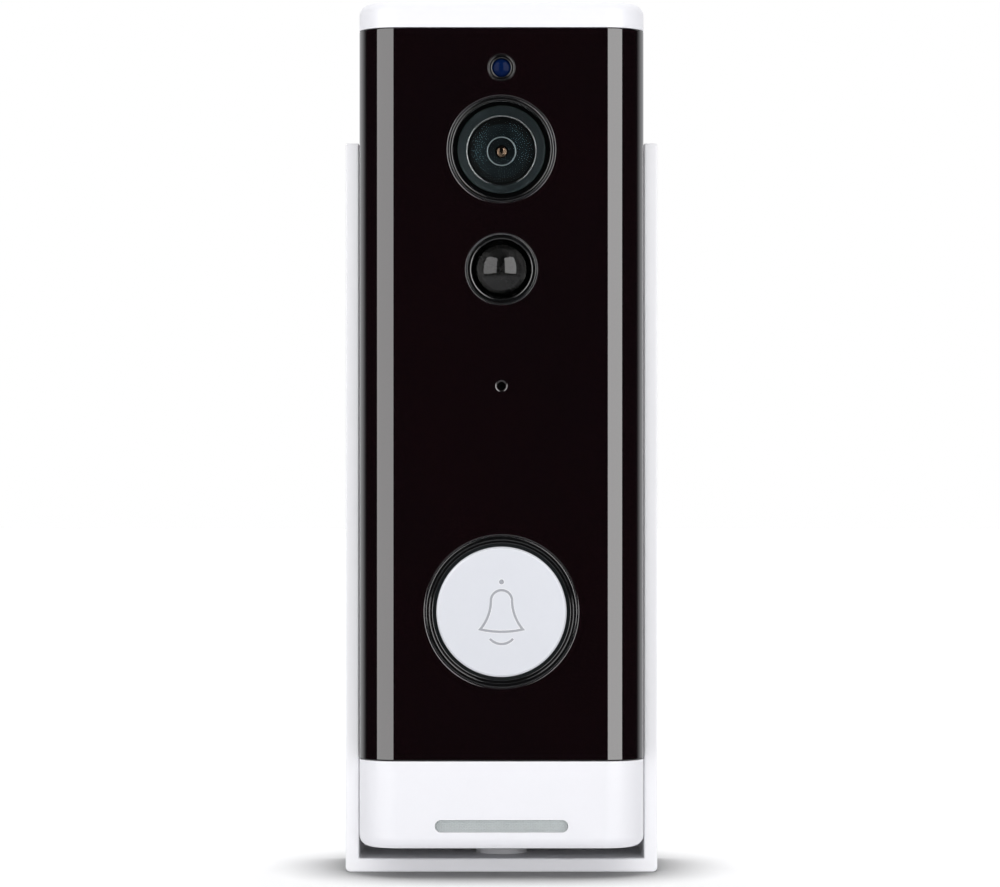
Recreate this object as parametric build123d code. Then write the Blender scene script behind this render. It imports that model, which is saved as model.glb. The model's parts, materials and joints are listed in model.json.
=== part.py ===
from build123d import *
import os

# A video doorbell standing in its wall cradle.
# Millimetres, +Z up, the front faces -Y. The origin is on the wall, midway between the
# cradle's two screw holes.

# ---------------------------------------------------------------- the unit's casing
unit_width = 46.0
unit_height = 136.0
unit_depth = 28.5
front_corner_radius = 6.5      # the front's two upright edges
rear_corner_radius = 3.0       # the back's two upright edges
rim_radius = 1.8               # round the top and the bottom
cap_height = 4.25              # white cap above the black panel
chin_height = 14.1             # white chin below it
panel_thickness = 1.8
panel_wrap = 13.0              # how far the panel reaches back along the sides
panel_gap = 0.1
housing_wall = 1.6
cover_wall = 1.8
cover_back = 2.0
tongue_length = 3.0            # the front shell's lap inside the rear one
tongue_clearance = 0.1
seal_depth = 0.8
seal_width = 1.2

# ---------------------------------------------------------------- the wall cradle
cradle_wall = 2.2              # side walls and floor
cradle_plate = 2.6             # the plate on the wall
cradle_setback = 10.0          # how far the unit's front stands out of the cradle
cradle_height = 118.7
cradle_corner = 0.8
cradle_edge = 0.35
side_clearance = 0.2
rear_clearance = 0.3
drain_gap = 2.5                # between the unit and the cradle's floor
wall_hole_radius = 2.25
wall_hole_land = 0.9           # straight part of the hole, below its countersink
wall_hole_spacing = 90.0
wall_hole_rise = 18.0          # lower hole above the cradle's underside
rail_rise = 30.0               # rail's lower end above the cradle's underside
rail_length = 68.0
rail_neck_width = 5.0
rail_head_width = 8.0
rail_head_thickness = 0.9
channel_lip = 1.0
channel_wall = 1.0
channel_side_wall = 1.2
slide_clearance = 0.15
rail_side_clearance = 0.2

# ---------------------------------------------------------------- security screw
security_y = -10.5
security_radius = 1.5
security_head_radius = 2.75
security_head_height = 1.1
security_length = 7.5
security_sink = 0.1            # head above the cradle's underside
security_recess_radius = 3.1
security_fit = 0.1
washer_radius = 2.9
washer_thickness = 0.4
washer_fit = 0.05
floor_boss_radius = 4.2
floor_boss_height = 0.9
insert_radius = 2.2
insert_length = 4.5
insert_boss_radius = 3.4

# ---------------------------------------------------------------- casing screws
post_inset_x = 5.7             # from the unit's side
post_inset_z = 6.7             # from its top and its bottom
post_radius = 3.2
post_tip_radius = 2.1          # where the post passes inside the front shell's tongue
boss_radius = 2.2
screw_radius = 1.0
screw_head_radius = 1.9
screw_head_height = 1.3
screw_grip = 4.6               # how far the point goes into the front shell
screw_seat_depth = 8.1         # the head's seat below the back's outside
screw_clearance = 0.15
counterbore_radius = 2.2
plug_length = 2.0
plug_gap = 0.05

# ---------------------------------------------------------------- camera
camera_drop = 23.8             # below the unit's top, as are the drops that follow
camera_rim = 0.6               # the bezel's width round the window
hole_bevel = 0.25
seat_gap = 0.1                 # round a bezel in the panel
bezel_recess = 0.05            # bezels sit this far behind the panel's face
window_radius = 7.8
window_thickness = 1.0
window_gap = 0.05
window_ledge = 0.85            # what the bezel and the hood's edge cover of the window
hood_margin = 0.15             # between the hood's throat and the lens
hood_depth = 1.85
hood_wall = 0.5
barrel_wall = 0.8
barrel_reach = 5.45            # behind the sensor board's back
barrel_clearance = 0.4
lens_radius = 5.35
lens_edge = 1.4
lens_rise = 1.0
iris_step = 0.7                # how much less than the lens the iris is in radius
iris_hole_radius = 2.3
iris_depth = 1.2
inner_lens_radius = 2.6
inner_lens_length = 2.2
lens_gap = 0.05
image_sensor_size = 5.0
image_sensor_thickness = 0.6
camera_board_size = 14.0
camera_board_thickness = 0.8

# ---------------------------------------------------------------- other things in the panel
light_drop = 10.7
light_rim = 0.6
light_lens_radius = 1.45
light_stem_radius = 1.0
light_sensor_size = 2.2
infrared_offset = 13.5
infrared_size = 3.0
infrared_lens_radius = 1.3
pir_drop = 43.0
pir_rim = 0.9                  # the bezel's width round the dome
pir_dome_radius = 4.65
pir_dome_rise = 0.9            # crown in front of the panel's face
pir_dome_height = 1.8
pir_wall = 0.7
pir_flange_width = 0.9
pir_flange_thickness = 0.7
pir_can_inset = 0.9            # how much less than the dome the sensor is in radius
mic_drop = 61.75
mic_hole_radius = 0.55
mic_bevel = 0.5
mic_gasket_radius = 1.8
mic_width = 3.6
mic_thickness = 1.1

# ---------------------------------------------------------------- bell button
button_rise = 38.05            # above the unit's underside
button_radius = 10.45
button_gap = 0.55              # between the button and the ring round it
ring_width = 1.15
ring_slope_width = 0.65
ring_step = 0.3
button_thickness = 1.8
button_sink = 0.1
button_edge = 0.3
carrier_lip = 0.25             # how far the carrier reaches under the ring
carrier_clearance = 0.2
carrier_thickness = 1.0
carrier_gap = 0.1              # between the carrier and the ring that keeps it in
plunger_radius = 2.0
button_travel = 0.6
mark_depth = 0.2
mark_stroke = 0.52
mark_dot_radius = 0.46
mark_dot_rise = 4.8
bell_top = 3.75
bell_shoulder = (1.95, 2.0)
bell_waist = (2.45, -0.7)
bell_lip = (3.9, -2.95)
bell_sag = -3.45
clapper_end = (1.9, -4.25)
clapper_low = -5.15
switch_size = 6.0
switch_height = 1.6
stem_radius = 1.4
stem_fit = 0.1
stem_length = 1.2
stem_spare = 0.2               # left over at full travel
status_led_circle = 8.5
status_led_size = 1.6

# ---------------------------------------------------------------- speaker
speaker_rise = 3.7             # slot's middle above the unit's underside
slot_width = 21.4
slot_height = 2.04
grille_wall = 1.2
mesh_thickness = 0.3
mesh_margin = 0.2
pocket_margin = 1.1            # pocket past the slot's ends
pocket_height = 9.3
pocket_rise = 1.5
speaker_margin = 1.3           # speaker past the slot's ends
speaker_height = 11.0
speaker_thickness = 3.4
speaker_basket = 1.0
gasket_thickness = 0.6
gasket_bar = 2.0

# ---------------------------------------------------------------- battery
cell_radius = 9.2
cell_length = 65.0
cell_nub_radius = 3.0
cell_nub_length = 1.0
cell_side_clearance = 0.3      # between a cell and the front shell's side
cell_rise = 13.3
cell_clearance = 0.3
holder_plate = 1.6
holder_side_clearance = 0.5
holder_margin = 1.0
spine_inset = 6.4              # the spine's sides inside the cells' middles
spine_depth = 5.1
contact_thickness = 0.2
contact_size = 7.0

# ---------------------------------------------------------------- circuit boards
board_thickness = 1.0
board_clearance = 0.4          # between the cells and the front boards
board_side_gap = 1.5           # between a front board and the front shell's side
sensor_board_length = 57.0
button_board_length = 27.0
board_hole_inset = 3.2         # from the board's top and bottom
board_hole_offset = 4.8        # beyond the cells' middles, where the cells curve away
board_post_radius = 1.8
board_screw_radius = 0.8
board_screw_head_radius = 1.5
board_screw_head_height = 0.8
board_screw_length = 3.2
board_hole_gap = 0.1
board_gap = 0.3                # between a board's edge and the posts beside it
main_board_width = 37.0
main_board_length = 43.0
main_board_thickness = 1.2
main_board_stand = 7.0
main_post_x = 16.4
main_post_low = 3.0
main_post_high = 30.0
processor_size = 12.0
processor_thickness = 1.2
shield_width = 14.5
shield_height = 14.0
shield_thickness = 2.4
shield_wall = 0.3
wifi_margin = 1.2
wifi_thickness = 1.0
chip_rise = 8.5                # chips' middles above the main board's lower edge
chip_offset = 7.4
antenna_width = 30.0
antenna_height = 4.5
antenna_thickness = 0.8
ribbon_width = 12.0
ribbon_thickness = 0.2
ribbon_drop = 34.2
connector_height = 3.4
connector_thickness = 1.2
link_width = 8.0
link_overlap = 2.4
lead_radius = 0.6
lead_offset = 3.0

# ---------------------------------------------------------------- port and reset on the back
port_drop = 14.2
port_width = 9.0
port_height = 3.3
port_wall = 0.3
port_clearance = 0.3
port_depth = 6.0
port_tongue_width = 6.4
port_tongue_thickness = 0.7
port_tongue_length = 5.0
flap_width = 16.0
flap_height = 9.0
flap_thickness = 1.1
flap_gap = 0.1
flap_tab_width = 2.5
plug_side_gap = 0.45
plug_depth = 0.9
reset_offset = 13.5
reset_radius = 1.5
reset_fit = 0.1
reset_sink = 0.2
reset_flange_radius = 2.3
reset_flange_thickness = 0.8
reset_stem_radius = 1.0
reset_travel = 0.4
reset_switch_size = 4.5
reset_switch_height = 3.7
reset_stem_in = 0.8

# ---------------------------------------------------------------- the shapes that cut
reach = 1.0                    # how far a cut or a joining piece runs past its face

# ---------------------------------------------------------------- heights and depths that follow
cradle_bottom = -(wall_hole_rise + wall_hole_spacing / 2)
cradle_top = cradle_bottom + cradle_height
floor_top = cradle_bottom + cradle_wall
unit_bottom = floor_top + drain_gap
unit_top = unit_bottom + unit_height
unit_rear = -(cradle_plate + rear_clearance)
unit_front = unit_rear - unit_depth
cradle_front = unit_front + cradle_setback
split = unit_front + panel_wrap
cap_bottom = unit_top - cap_height
chin_top = unit_bottom + chin_height
panel_seat = panel_thickness + panel_gap
housing_inset = panel_seat + housing_wall
wall_front = unit_front + panel_seat
inner_front = unit_front + housing_inset
inner_rear = unit_rear - cover_back
tongue_inset = cover_wall + tongue_clearance
tongue_end = split + tongue_length
post_x = unit_width / 2 - post_inset_x
post_low = unit_bottom + post_inset_z
post_high = unit_top - post_inset_z
screw_seat = unit_rear - screw_seat_depth
screw_length = screw_seat - split + screw_grip
bezel_front = unit_front + bezel_recess

rail_bottom = cradle_bottom + rail_rise
rail_top = rail_bottom + rail_length
rail_head_back = unit_rear - channel_lip - slide_clearance
rail_head_front = rail_head_back - rail_head_thickness
channel_front = rail_head_front - slide_clearance
channel_face = channel_front - channel_wall
channel_half_width = rail_head_width / 2 + rail_side_clearance

casing_half_width = unit_width / 2 - housing_inset
cell_x = casing_half_width - cell_side_clearance - cell_radius
cell_y = inner_rear - cell_clearance - cell_radius
cell_front = cell_y - cell_radius
cell_bottom = unit_bottom + cell_rise
cell_top = cell_bottom + cell_length
holder_bottom = cell_bottom - contact_thickness - holder_plate
holder_top = cell_top + contact_thickness + holder_plate
holder_front = cell_front + holder_margin
holder_half_width = casing_half_width - holder_side_clearance
spine_half_width = cell_x - spine_inset

front_board_width = 2 * (casing_half_width - board_side_gap)
board_hole_x = cell_x + board_hole_offset
board_back = cell_front - board_clearance
board_front = board_back - board_thickness
sensor_board_top = post_high - boss_radius - board_gap
sensor_board_bottom = sensor_board_top - sensor_board_length
main_back = inner_rear - main_board_stand
main_front = main_back - main_board_thickness
main_top = post_high - post_radius - board_gap
main_bottom = main_top - main_board_length

camera_z = unit_top - camera_drop
light_z = unit_top - light_drop
pir_z = unit_top - pir_drop
mic_z = unit_top - mic_drop
button_z = unit_bottom + button_rise
speaker_z = unit_bottom + speaker_rise
port_z = unit_top - port_drop

camera_hole_radius = window_radius + window_gap + camera_rim + seat_gap
hood_mouth_radius = window_radius - window_ledge
hood_throat_radius = lens_radius + hood_margin
barrel_radius = lens_radius + lens_gap + barrel_wall
iris_radius = lens_radius - iris_step
window_back = bezel_front + window_gap + window_thickness
hood_front = window_back + window_gap
hood_back = hood_front + hood_depth
barrel_front = hood_back + lens_gap
barrel_back = board_back + barrel_reach
camera_board_back = barrel_back + camera_board_thickness

light_hole_radius = light_lens_radius + light_rim + seat_gap
pir_hole_radius = pir_dome_radius + pir_rim + 2 * seat_gap
pir_flange_radius = pir_dome_radius + pir_flange_width
pir_can_radius = pir_dome_radius - pir_can_inset

ring_inner_radius = button_radius + button_gap
ring_step_radius = ring_inner_radius + ring_slope_width
button_hole_radius = ring_inner_radius + ring_width + seat_gap
carrier_radius = ring_inner_radius + carrier_lip
button_front = unit_front + button_sink
button_back = button_front + button_thickness
ring_back = button_back - carrier_gap
carrier_back = button_back + carrier_thickness
switch_front = board_front - switch_height
stem_front = switch_front - button_travel - stem_spare

pocket_width = slot_width + 2 * pocket_margin
speaker_width = slot_width + 2 * speaker_margin


# ---------------------------------------------------------------- shapes used throughout
def block(x, y, z):
    """A box between (low, high) limits along each axis."""
    middle = Pos((x[0] + x[1]) / 2, (y[0] + y[1]) / 2, (z[0] + z[1]) / 2)
    return middle * Box(x[1] - x[0], y[1] - y[0], z[1] - z[0])


def across(width):
    """Limits of a width centred on the unit's middle."""
    return (-width / 2, width / 2)


def around(middle, size):
    """Limits of a size centred on a place."""
    return (middle - size / 2, middle + size / 2)


def rod(radius, x, z, front, back):
    """A cylinder along Y."""
    return Pos(x, (front + back) / 2, z) * Rot(90, 0, 0) * Cylinder(radius, back - front)


def upright(radius, x, y, low, high):
    """A cylinder along Z."""
    return Pos(x, y, (low + high) / 2) * Cylinder(radius, high - low)


def turned(outline, x, z):
    """A round piece about a line along Y, from its outline as (radius, y) points."""
    return Pos(x, 0, z) * revolve(make_face(Polyline(*outline, close=True)), Axis.Y)


def tube(outer, inner, x, z, front, back):
    """A ring or sleeve along Y."""
    return turned([(inner, front), (outer, front), (outer, back), (inner, back)], x, z)


def bore(radius, bevel, front, back, x, z):
    """What a round hole takes away: it flares at 45 degrees to the face it opens in."""
    outline = [
        (0, front - reach),
        (radius + bevel + reach, front - reach),
        (radius, front + bevel),
        (radius, back),
        (0, back),
    ]
    return turned(outline, x, z)


def domed_rod(radius, rise, x, z, crown, back):
    """A cylinder along Y whose front end is a dome of the given rise."""
    ball_radius = (radius**2 + rise**2) / (2 * rise)
    ball = Pos(x, crown + ball_radius, z) * Sphere(ball_radius)
    core = rod(radius, x, z, crown + rise, back)
    tip = rod(radius, x, z, crown - rise, crown + rise) & ball
    return core + tip


def screw(radius, head_radius, head_height, length):
    """A socket screw along Z: its head bears on the plane z = 0 and its point hangs below."""
    shank = Pos(0, 0, -length / 2) * Cylinder(radius, length)
    head = Pos(0, 0, head_height / 2) * Cylinder(head_radius, head_height)
    key = extrude(RegularPolygon(head_radius * 0.55, 6), head_height * 0.6)
    return shank + head - Pos(0, 0, head_height * 0.4) * key


def front_plane(x, y, z):
    """A plane facing forwards, its own X to the right and its own Y up."""
    return Plane(origin=(x, y, z), x_dir=(1, 0, 0), z_dir=(0, -1, 0))


def unit_block(inset, low, high):
    """The unit's outline in plan, moved in by an inset and stood up between two heights."""
    width = unit_width - 2 * inset
    depth = unit_depth - 2 * inset
    outline = Pos(0, (unit_front + unit_rear) / 2) * Rectangle(width, depth)
    front_corners = outline.vertices().group_by(Axis.Y)[0]
    outline = fillet(front_corners, max(front_corner_radius - inset, 0.5))
    rear_corners = outline.vertices().group_by(Axis.Y)[-1]
    outline = fillet(rear_corners, max(rear_corner_radius - inset, 0.5))
    return Pos(0, 0, low) * extrude(outline, high - low)


def shrunk_unit(inset):
    """The unit's outline moved in by an inset on every side."""
    return unit_block(inset, unit_bottom + inset, unit_top - inset)


def rounded_unit():
    """The unit's outside, with the edges round its top and bottom rounded."""
    body = shrunk_unit(0)
    rims = body.edges().group_by(Axis.Z)
    return fillet(rims[0] + rims[-1], rim_radius)


def between(front, back):
    """Everything between two depths."""
    return block(across(2 * unit_width), (front, back), (2 * cradle_bottom, 2 * unit_top))


def on_posts():
    """Places of the four casing screws, as (x, z)."""
    return [(side * post_x, z) for side in (-1, 1) for z in (post_low, post_high)]


def board_corners(low, high):
    """Places of the four screws of a front board, as (x, z)."""
    heights = (low + board_hole_inset, high - board_hole_inset)
    return [(side * board_hole_x, z) for side in (-1, 1) for z in heights]


def sensor_board_holes():
    return board_corners(sensor_board_bottom, sensor_board_top)


def button_board_limits():
    return around(button_z, button_board_length)


def button_board_holes():
    low, high = button_board_limits()
    return board_corners(low, high)


def main_board_holes():
    heights = (main_bottom + main_post_low, main_bottom + main_post_high)
    return [(side * main_post_x, z) for side in (-1, 1) for z in heights]


def joined(shapes):
    """Several solids kept in one piece of work."""
    return Compound(children=list(shapes))


# ---------------------------------------------------------------- the cradle
def wall_cradle():
    inner_half = unit_width / 2 + side_clearance
    outer_half = inner_half + cradle_wall
    heights = (cradle_bottom, cradle_top)
    tray = block((-outer_half, outer_half), (cradle_front, 0), heights)
    bottom_corners = tray.edges().filter_by(Axis.Y).group_by(Axis.Z)[0]
    rear_corners = tray.edges().filter_by(Axis.Z).group_by(Axis.Y)[-1]
    tray = fillet(bottom_corners + rear_corners, cradle_corner)
    depths = (cradle_front - reach, -cradle_plate)
    tray -= block((-inner_half, inner_half), depths, (floor_top, cradle_top + reach))
    front_edges = tray.faces().sort_by(Axis.Y)[0].edges()
    tray = chamfer(front_edges, cradle_edge)
    rail_heights = (rail_bottom, rail_top)
    tray += block(across(rail_neck_width), (rail_head_back, -cradle_plate), rail_heights)
    tray += block(across(rail_head_width), (rail_head_front, rail_head_back), rail_heights)
    for z in (-wall_hole_spacing / 2, wall_hole_spacing / 2):
        sink = cradle_plate - wall_hole_land
        tray -= bore(wall_hole_radius, sink, -cradle_plate, reach, 0, z)
    boss_top = floor_top + floor_boss_height
    tray += upright(floor_boss_radius, 0, security_y, floor_top - reach, boss_top)
    tray -= upright(security_recess_radius, 0, security_y, cradle_bottom - reach, washer_top())
    tray -= upright(security_radius + security_fit, 0, security_y, cradle_bottom, boss_top + reach)
    return tray


def washer_top():
    """Height of the face that the security screw's washer bears on."""
    return cradle_bottom + security_sink + security_head_height + washer_thickness


def security_washer():
    low = washer_top() - washer_thickness
    ring = upright(washer_radius, 0, security_y, low, washer_top())
    return ring - upright(security_radius + washer_fit, 0, security_y, low, washer_top())


def security_screw():
    piece = screw(security_radius, security_head_radius, security_head_height, security_length)
    return Pos(0, security_y, washer_top() - washer_thickness) * Rot(180, 0, 0) * piece


def security_insert():
    high = unit_bottom + insert_length
    sleeve = upright(insert_radius, 0, security_y, unit_bottom, high)
    return sleeve - upright(security_radius + washer_fit, 0, security_y, unit_bottom, high)


# ---------------------------------------------------------------- the casing
def seal_groove():
    """The band cut round the tongue for the seal."""
    bottom = tongue_inset + seal_depth
    band = shrunk_unit(cover_wall) - shrunk_unit(bottom)
    middle = split + tongue_length / 2
    return band & between(*around(middle, seal_width))


def front_housing():
    shell = rounded_unit() & between(unit_front - reach, split)
    panel_heights = (chin_top, cap_bottom)
    recess = block(across(2 * unit_width), (unit_front - reach, split), panel_heights)
    shell -= recess - shrunk_unit(panel_seat)
    shell += shrunk_unit(tongue_inset) & between(split - reach, tongue_end)
    shell -= shrunk_unit(housing_inset) & between(inner_front, tongue_end + reach)
    shell -= seal_groove()
    for x, z in on_posts():
        shell += rod(boss_radius, x, z, inner_front, split)
        shell -= rod(screw_radius, x, z, screw_seat - screw_length, split + reach)
    for x, z in sensor_board_holes() + button_board_holes():
        shell += rod(board_post_radius, x, z, inner_front, board_front)
        shell -= rod(board_screw_radius, x, z, board_back - board_screw_length, board_front)
    for radius, z in housing_openings():
        shell -= rod(radius, 0, z, unit_front, inner_front + reach)
    for side in (-1, 1):
        hole = infrared_lens_radius + board_hole_gap
        shell -= rod(hole, side * infrared_offset, camera_z, unit_front, inner_front + reach)
    slot = front_plane(0, unit_front - reach, speaker_z) * SlotOverall(slot_width, slot_height)
    shell -= extrude(slot, -(grille_wall + 2 * reach))
    pocket_low = unit_bottom + pocket_rise
    pocket_heights = (pocket_low, pocket_low + pocket_height)
    shell -= block(across(pocket_width), (unit_front + grille_wall, inner_front), pocket_heights)
    return shell


def housing_openings():
    """Round holes in the wall behind the panel, as (radius, z)."""
    return [
        (hood_mouth_radius + hood_wall, camera_z),
        (light_stem_radius + board_hole_gap, light_z),
        (pir_flange_radius + seat_gap, pir_z),
        (mic_gasket_radius + board_hole_gap, mic_z),
        (carrier_radius + carrier_clearance, button_z),
    ]


def front_panel():
    heights = (chin_top + panel_gap, cap_bottom - panel_gap)
    band = shrunk_unit(0) - shrunk_unit(panel_thickness)
    room = block(across(2 * unit_width), (unit_front - reach, split - panel_gap), heights)
    panel = band & room
    back = unit_front + panel_thickness + reach
    panel -= bore(camera_hole_radius, hole_bevel, unit_front, back, 0, camera_z)
    panel -= bore(light_hole_radius, hole_bevel, unit_front, back, 0, light_z)
    panel -= bore(pir_hole_radius, hole_bevel, unit_front, back, 0, pir_z)
    panel -= bore(mic_hole_radius, mic_bevel, unit_front, back, 0, mic_z)
    panel -= bore(button_hole_radius, hole_bevel, unit_front, back, 0, button_z)
    return panel


def rear_cover():
    shell = rounded_unit() & between(split, unit_rear + reach)
    inside = shrunk_unit(cover_wall) & between(split - reach, inner_rear)
    shell -= inside
    rail_wall = channel_half_width + channel_side_wall
    channel_heights = (unit_bottom + cover_wall - reach, rail_top + channel_wall)
    shell += block((-rail_wall, rail_wall), (channel_face, inner_rear + reach), channel_heights)
    for x, z in on_posts():
        shell += rod(post_radius, x, z, screw_seat - reach, inner_rear)
        shell += rod(post_tip_radius, x, z, split, screw_seat)
    for x, z in main_board_holes():
        shell += rod(board_post_radius, x, z, main_back, inner_rear)
    boss_top = unit_bottom + insert_length + reach
    shell += upright(insert_boss_radius, 0, security_y, unit_bottom + cover_wall - reach, boss_top)
    shell -= upright(insert_radius, 0, security_y, unit_bottom - reach, unit_bottom + insert_length)
    run = (unit_bottom - reach, rail_top)
    neck = rail_neck_width + 2 * rail_side_clearance
    shell -= block(across(neck), (channel_front, unit_rear + reach), run)
    shell -= block(across(2 * channel_half_width), (channel_front, unit_rear - channel_lip), run)
    for x, z in on_posts():
        shell -= rod(counterbore_radius, x, z, screw_seat, unit_rear + reach)
        shell -= rod(screw_radius + screw_clearance, x, z, split - reach, screw_seat)
    for x, z in main_board_holes():
        shell -= rod(board_screw_radius, x, z, main_back, main_front + board_screw_length + reach)
    return shell - port_cuts() - reset_hole()


def flap_limits():
    """Left and right limits of the flap over the port."""
    return across(flap_width)


def port_cuts():
    """The flap's recess in the back, and the slot behind it for the socket."""
    left, right = flap_limits()
    floor = unit_rear - flap_thickness - flap_gap
    width = (left - flap_tab_width, right + flap_gap)
    recess = block(width, (floor, unit_rear + reach), around(port_z, flap_height + 2 * flap_gap))
    mouth = SlotOverall(port_width + 2 * port_clearance, port_height + 2 * port_clearance)
    slot = extrude(front_plane(0, unit_rear, port_z) * mouth, cover_back + reach)
    return recess + slot


def reset_hole():
    hole = reset_radius + reset_fit
    return rod(hole, reset_offset, port_z, inner_rear - reach, unit_rear + reach)


def housing_seal():
    return seal_groove()


def housing_screws():
    piece = screw(screw_radius, screw_head_radius, screw_head_height, screw_length)
    return joined(Pos(x, screw_seat, z) * Rot(-90, 0, 0) * piece for x, z in on_posts())


def screw_plugs():
    radius = counterbore_radius - plug_gap
    return joined(rod(radius, x, z, unit_rear - plug_length, unit_rear) for x, z in on_posts())


# ---------------------------------------------------------------- camera
def camera_bezel():
    outer = camera_hole_radius - seat_gap
    inner = hood_mouth_radius + 3 * window_gap
    seat = window_radius + window_gap
    outline = [
        (seat, bezel_front),
        (outer, bezel_front),
        (outer, wall_front),
        (inner, wall_front),
        (inner, window_back),
        (seat, window_back),
    ]
    return turned(outline, 0, camera_z)


def camera_window():
    return rod(window_radius, 0, camera_z, window_back - window_thickness, window_back)


def lens_hood():
    outline = [
        (hood_mouth_radius, hood_front),
        (hood_mouth_radius + window_gap, hood_front),
        (hood_mouth_radius + window_gap, hood_front + hood_wall),
        (hood_throat_radius + hood_wall, hood_back),
        (hood_throat_radius, hood_back),
    ]
    return turned(outline, 0, camera_z)


def lens_barrel():
    lens_back = barrel_front + lens_edge
    iris_back = lens_back + iris_depth
    glass_back = iris_back + inner_lens_length
    sensor_room = image_sensor_size / 2 * 1.5
    sensor_front = barrel_back - image_sensor_thickness - lens_gap
    outline = [
        (lens_radius + lens_gap, barrel_front),
        (barrel_radius, barrel_front),
        (barrel_radius, barrel_back),
        (sensor_room, barrel_back),
        (sensor_room, sensor_front),
        (iris_hole_radius, sensor_front),
        (iris_hole_radius, glass_back),
        (inner_lens_radius + lens_gap, glass_back),
        (inner_lens_radius + lens_gap, iris_back),
        (iris_radius + lens_gap, iris_back),
        (iris_radius + lens_gap, lens_back),
        (lens_radius + lens_gap, lens_back),
    ]
    return turned(outline, 0, camera_z)


def front_lens():
    crown = barrel_front - lens_rise
    return domed_rod(lens_radius, lens_rise, 0, camera_z, crown, barrel_front + lens_edge)


def lens_iris():
    front = barrel_front + lens_edge
    back = front + iris_depth
    rim = 0.25
    outline = [
        (iris_radius - rim, front),
        (iris_radius, front),
        (iris_radius, back),
        (iris_hole_radius, back),
        (iris_hole_radius, back - iris_depth / 2),
    ]
    return turned(outline, 0, camera_z)


def inner_lens():
    front = barrel_front + lens_edge + iris_depth
    return rod(inner_lens_radius, 0, camera_z, front, front + inner_lens_length)


def image_sensor():
    front = barrel_back - image_sensor_thickness
    size = image_sensor_size
    return block(across(size), (front, barrel_back), around(camera_z, size))


def camera_board():
    size = camera_board_size
    return block(across(size), (barrel_back, camera_board_back), around(camera_z, size))


def camera_connector():
    heights = around(camera_z, connector_height)
    return block(across(ribbon_width), (camera_board_back, main_front), heights)


# ---------------------------------------------------------------- other things in the panel
def light_sensor_bezel():
    outer = light_hole_radius - seat_gap / 2
    inner = light_lens_radius + seat_gap / 2
    return tube(outer, inner, 0, light_z, bezel_front, wall_front)


def light_sensor_lens():
    lens = domed_rod(light_lens_radius, 0.3, 0, light_z, bezel_front + seat_gap, wall_front)
    tip = board_front - light_sensor_thickness() - seat_gap
    return lens + rod(light_stem_radius, 0, light_z, wall_front, tip)


def light_sensor_thickness():
    return light_sensor_size / 3


def light_sensor():
    heights = around(light_z, light_sensor_size)
    depths = (board_front - light_sensor_thickness(), board_front)
    return block(across(light_sensor_size), depths, heights)


def infrared_leds():
    size = infrared_size
    base = board_front - size / 3
    crown = wall_front + seat_gap
    leds = []
    for side in (-1, 1):
        x = side * infrared_offset
        chip = block(around(x, size), (base, board_front), around(camera_z, size))
        leds.append(chip + domed_rod(infrared_lens_radius, 0.6, x, camera_z, crown, base))
    return joined(leds)


def pir_bezel():
    outer = pir_hole_radius - seat_gap
    inner = pir_dome_radius + seat_gap
    dish = 0.45
    outline = [
        (outer, bezel_front),
        (outer, wall_front),
        (inner, wall_front),
        (inner, bezel_front + dish),
    ]
    return turned(outline, 0, pir_z)


def pir_lens():
    crown = unit_front - pir_dome_rise
    flange_front = wall_front + seat_gap
    back = flange_front + pir_flange_thickness
    outside = domed_rod(pir_dome_radius, pir_dome_height, 0, pir_z, crown, back)
    inner = pir_dome_radius - pir_wall
    inside = domed_rod(inner, pir_dome_height - pir_wall / 2, 0, pir_z, crown + pir_wall, back)
    flange = tube(pir_flange_radius, inner, 0, pir_z, flange_front, back)
    return outside - inside + flange


def pir_sensor():
    front = wall_front + pir_flange_thickness
    cap = rod(pir_can_radius, 0, pir_z, front, board_front)
    return cap + rod(pir_can_radius + 0.4, 0, pir_z, board_front - 0.4, board_front)


def mic_gasket():
    front = unit_front + panel_thickness
    return tube(mic_gasket_radius, mic_hole_radius, 0, mic_z, front, board_front - mic_thickness)


def microphone():
    depths = (board_front - mic_thickness, board_front)
    return block(across(mic_width), depths, around(mic_z, mic_width))


# ---------------------------------------------------------------- bell button
def mark_faces():
    """The bell drawn on the button: its outline, the dot above and the clapper below."""
    left_shoulder = (-bell_shoulder[0], bell_shoulder[1])
    left_waist = (-bell_waist[0], bell_waist[1])
    left_lip = (-bell_lip[0], bell_lip[1])
    crown = ThreePointArc(left_shoulder, (0, bell_top), bell_shoulder)
    right_side = ThreePointArc(bell_shoulder, bell_waist, bell_lip)
    foot = ThreePointArc(bell_lip, (0, bell_sag), left_lip)
    left_side = ThreePointArc(left_lip, left_waist, left_shoulder)
    bell = make_face([crown, right_side, foot, left_side])
    outline = bell - offset(bell, -mark_stroke)
    dot = Pos(0, mark_dot_rise) * Circle(mark_dot_radius)
    left_end = (-clapper_end[0], clapper_end[1])
    arc = ThreePointArc(left_end, (0, clapper_low), clapper_end)
    clapper = trace(arc, mark_stroke)
    return [outline, dot, clapper]


def bell_mark():
    plane = front_plane(0, button_front + mark_depth, button_z)
    return joined(extrude(plane * face, mark_depth) for face in mark_faces())


def button_cap():
    cap = rod(button_radius, 0, button_z, button_front, button_back)
    front_rim = cap.edges().sort_by(Axis.Y)[0]
    cap = chamfer(front_rim, button_edge)
    for stroke in bell_mark().solids():
        cap -= stroke
    return cap


def button_carrier():
    flange = rod(carrier_radius, 0, button_z, button_back, carrier_back)
    return flange + rod(plunger_radius, 0, button_z, carrier_back, stem_front)


def light_ring():
    outer = button_hole_radius - seat_gap
    outline = [
        (ring_step_radius, bezel_front),
        (outer, bezel_front),
        (outer, ring_back),
        (ring_inner_radius, ring_back),
        (ring_inner_radius, bezel_front + ring_step),
    ]
    return turned(outline, 0, button_z)


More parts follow.
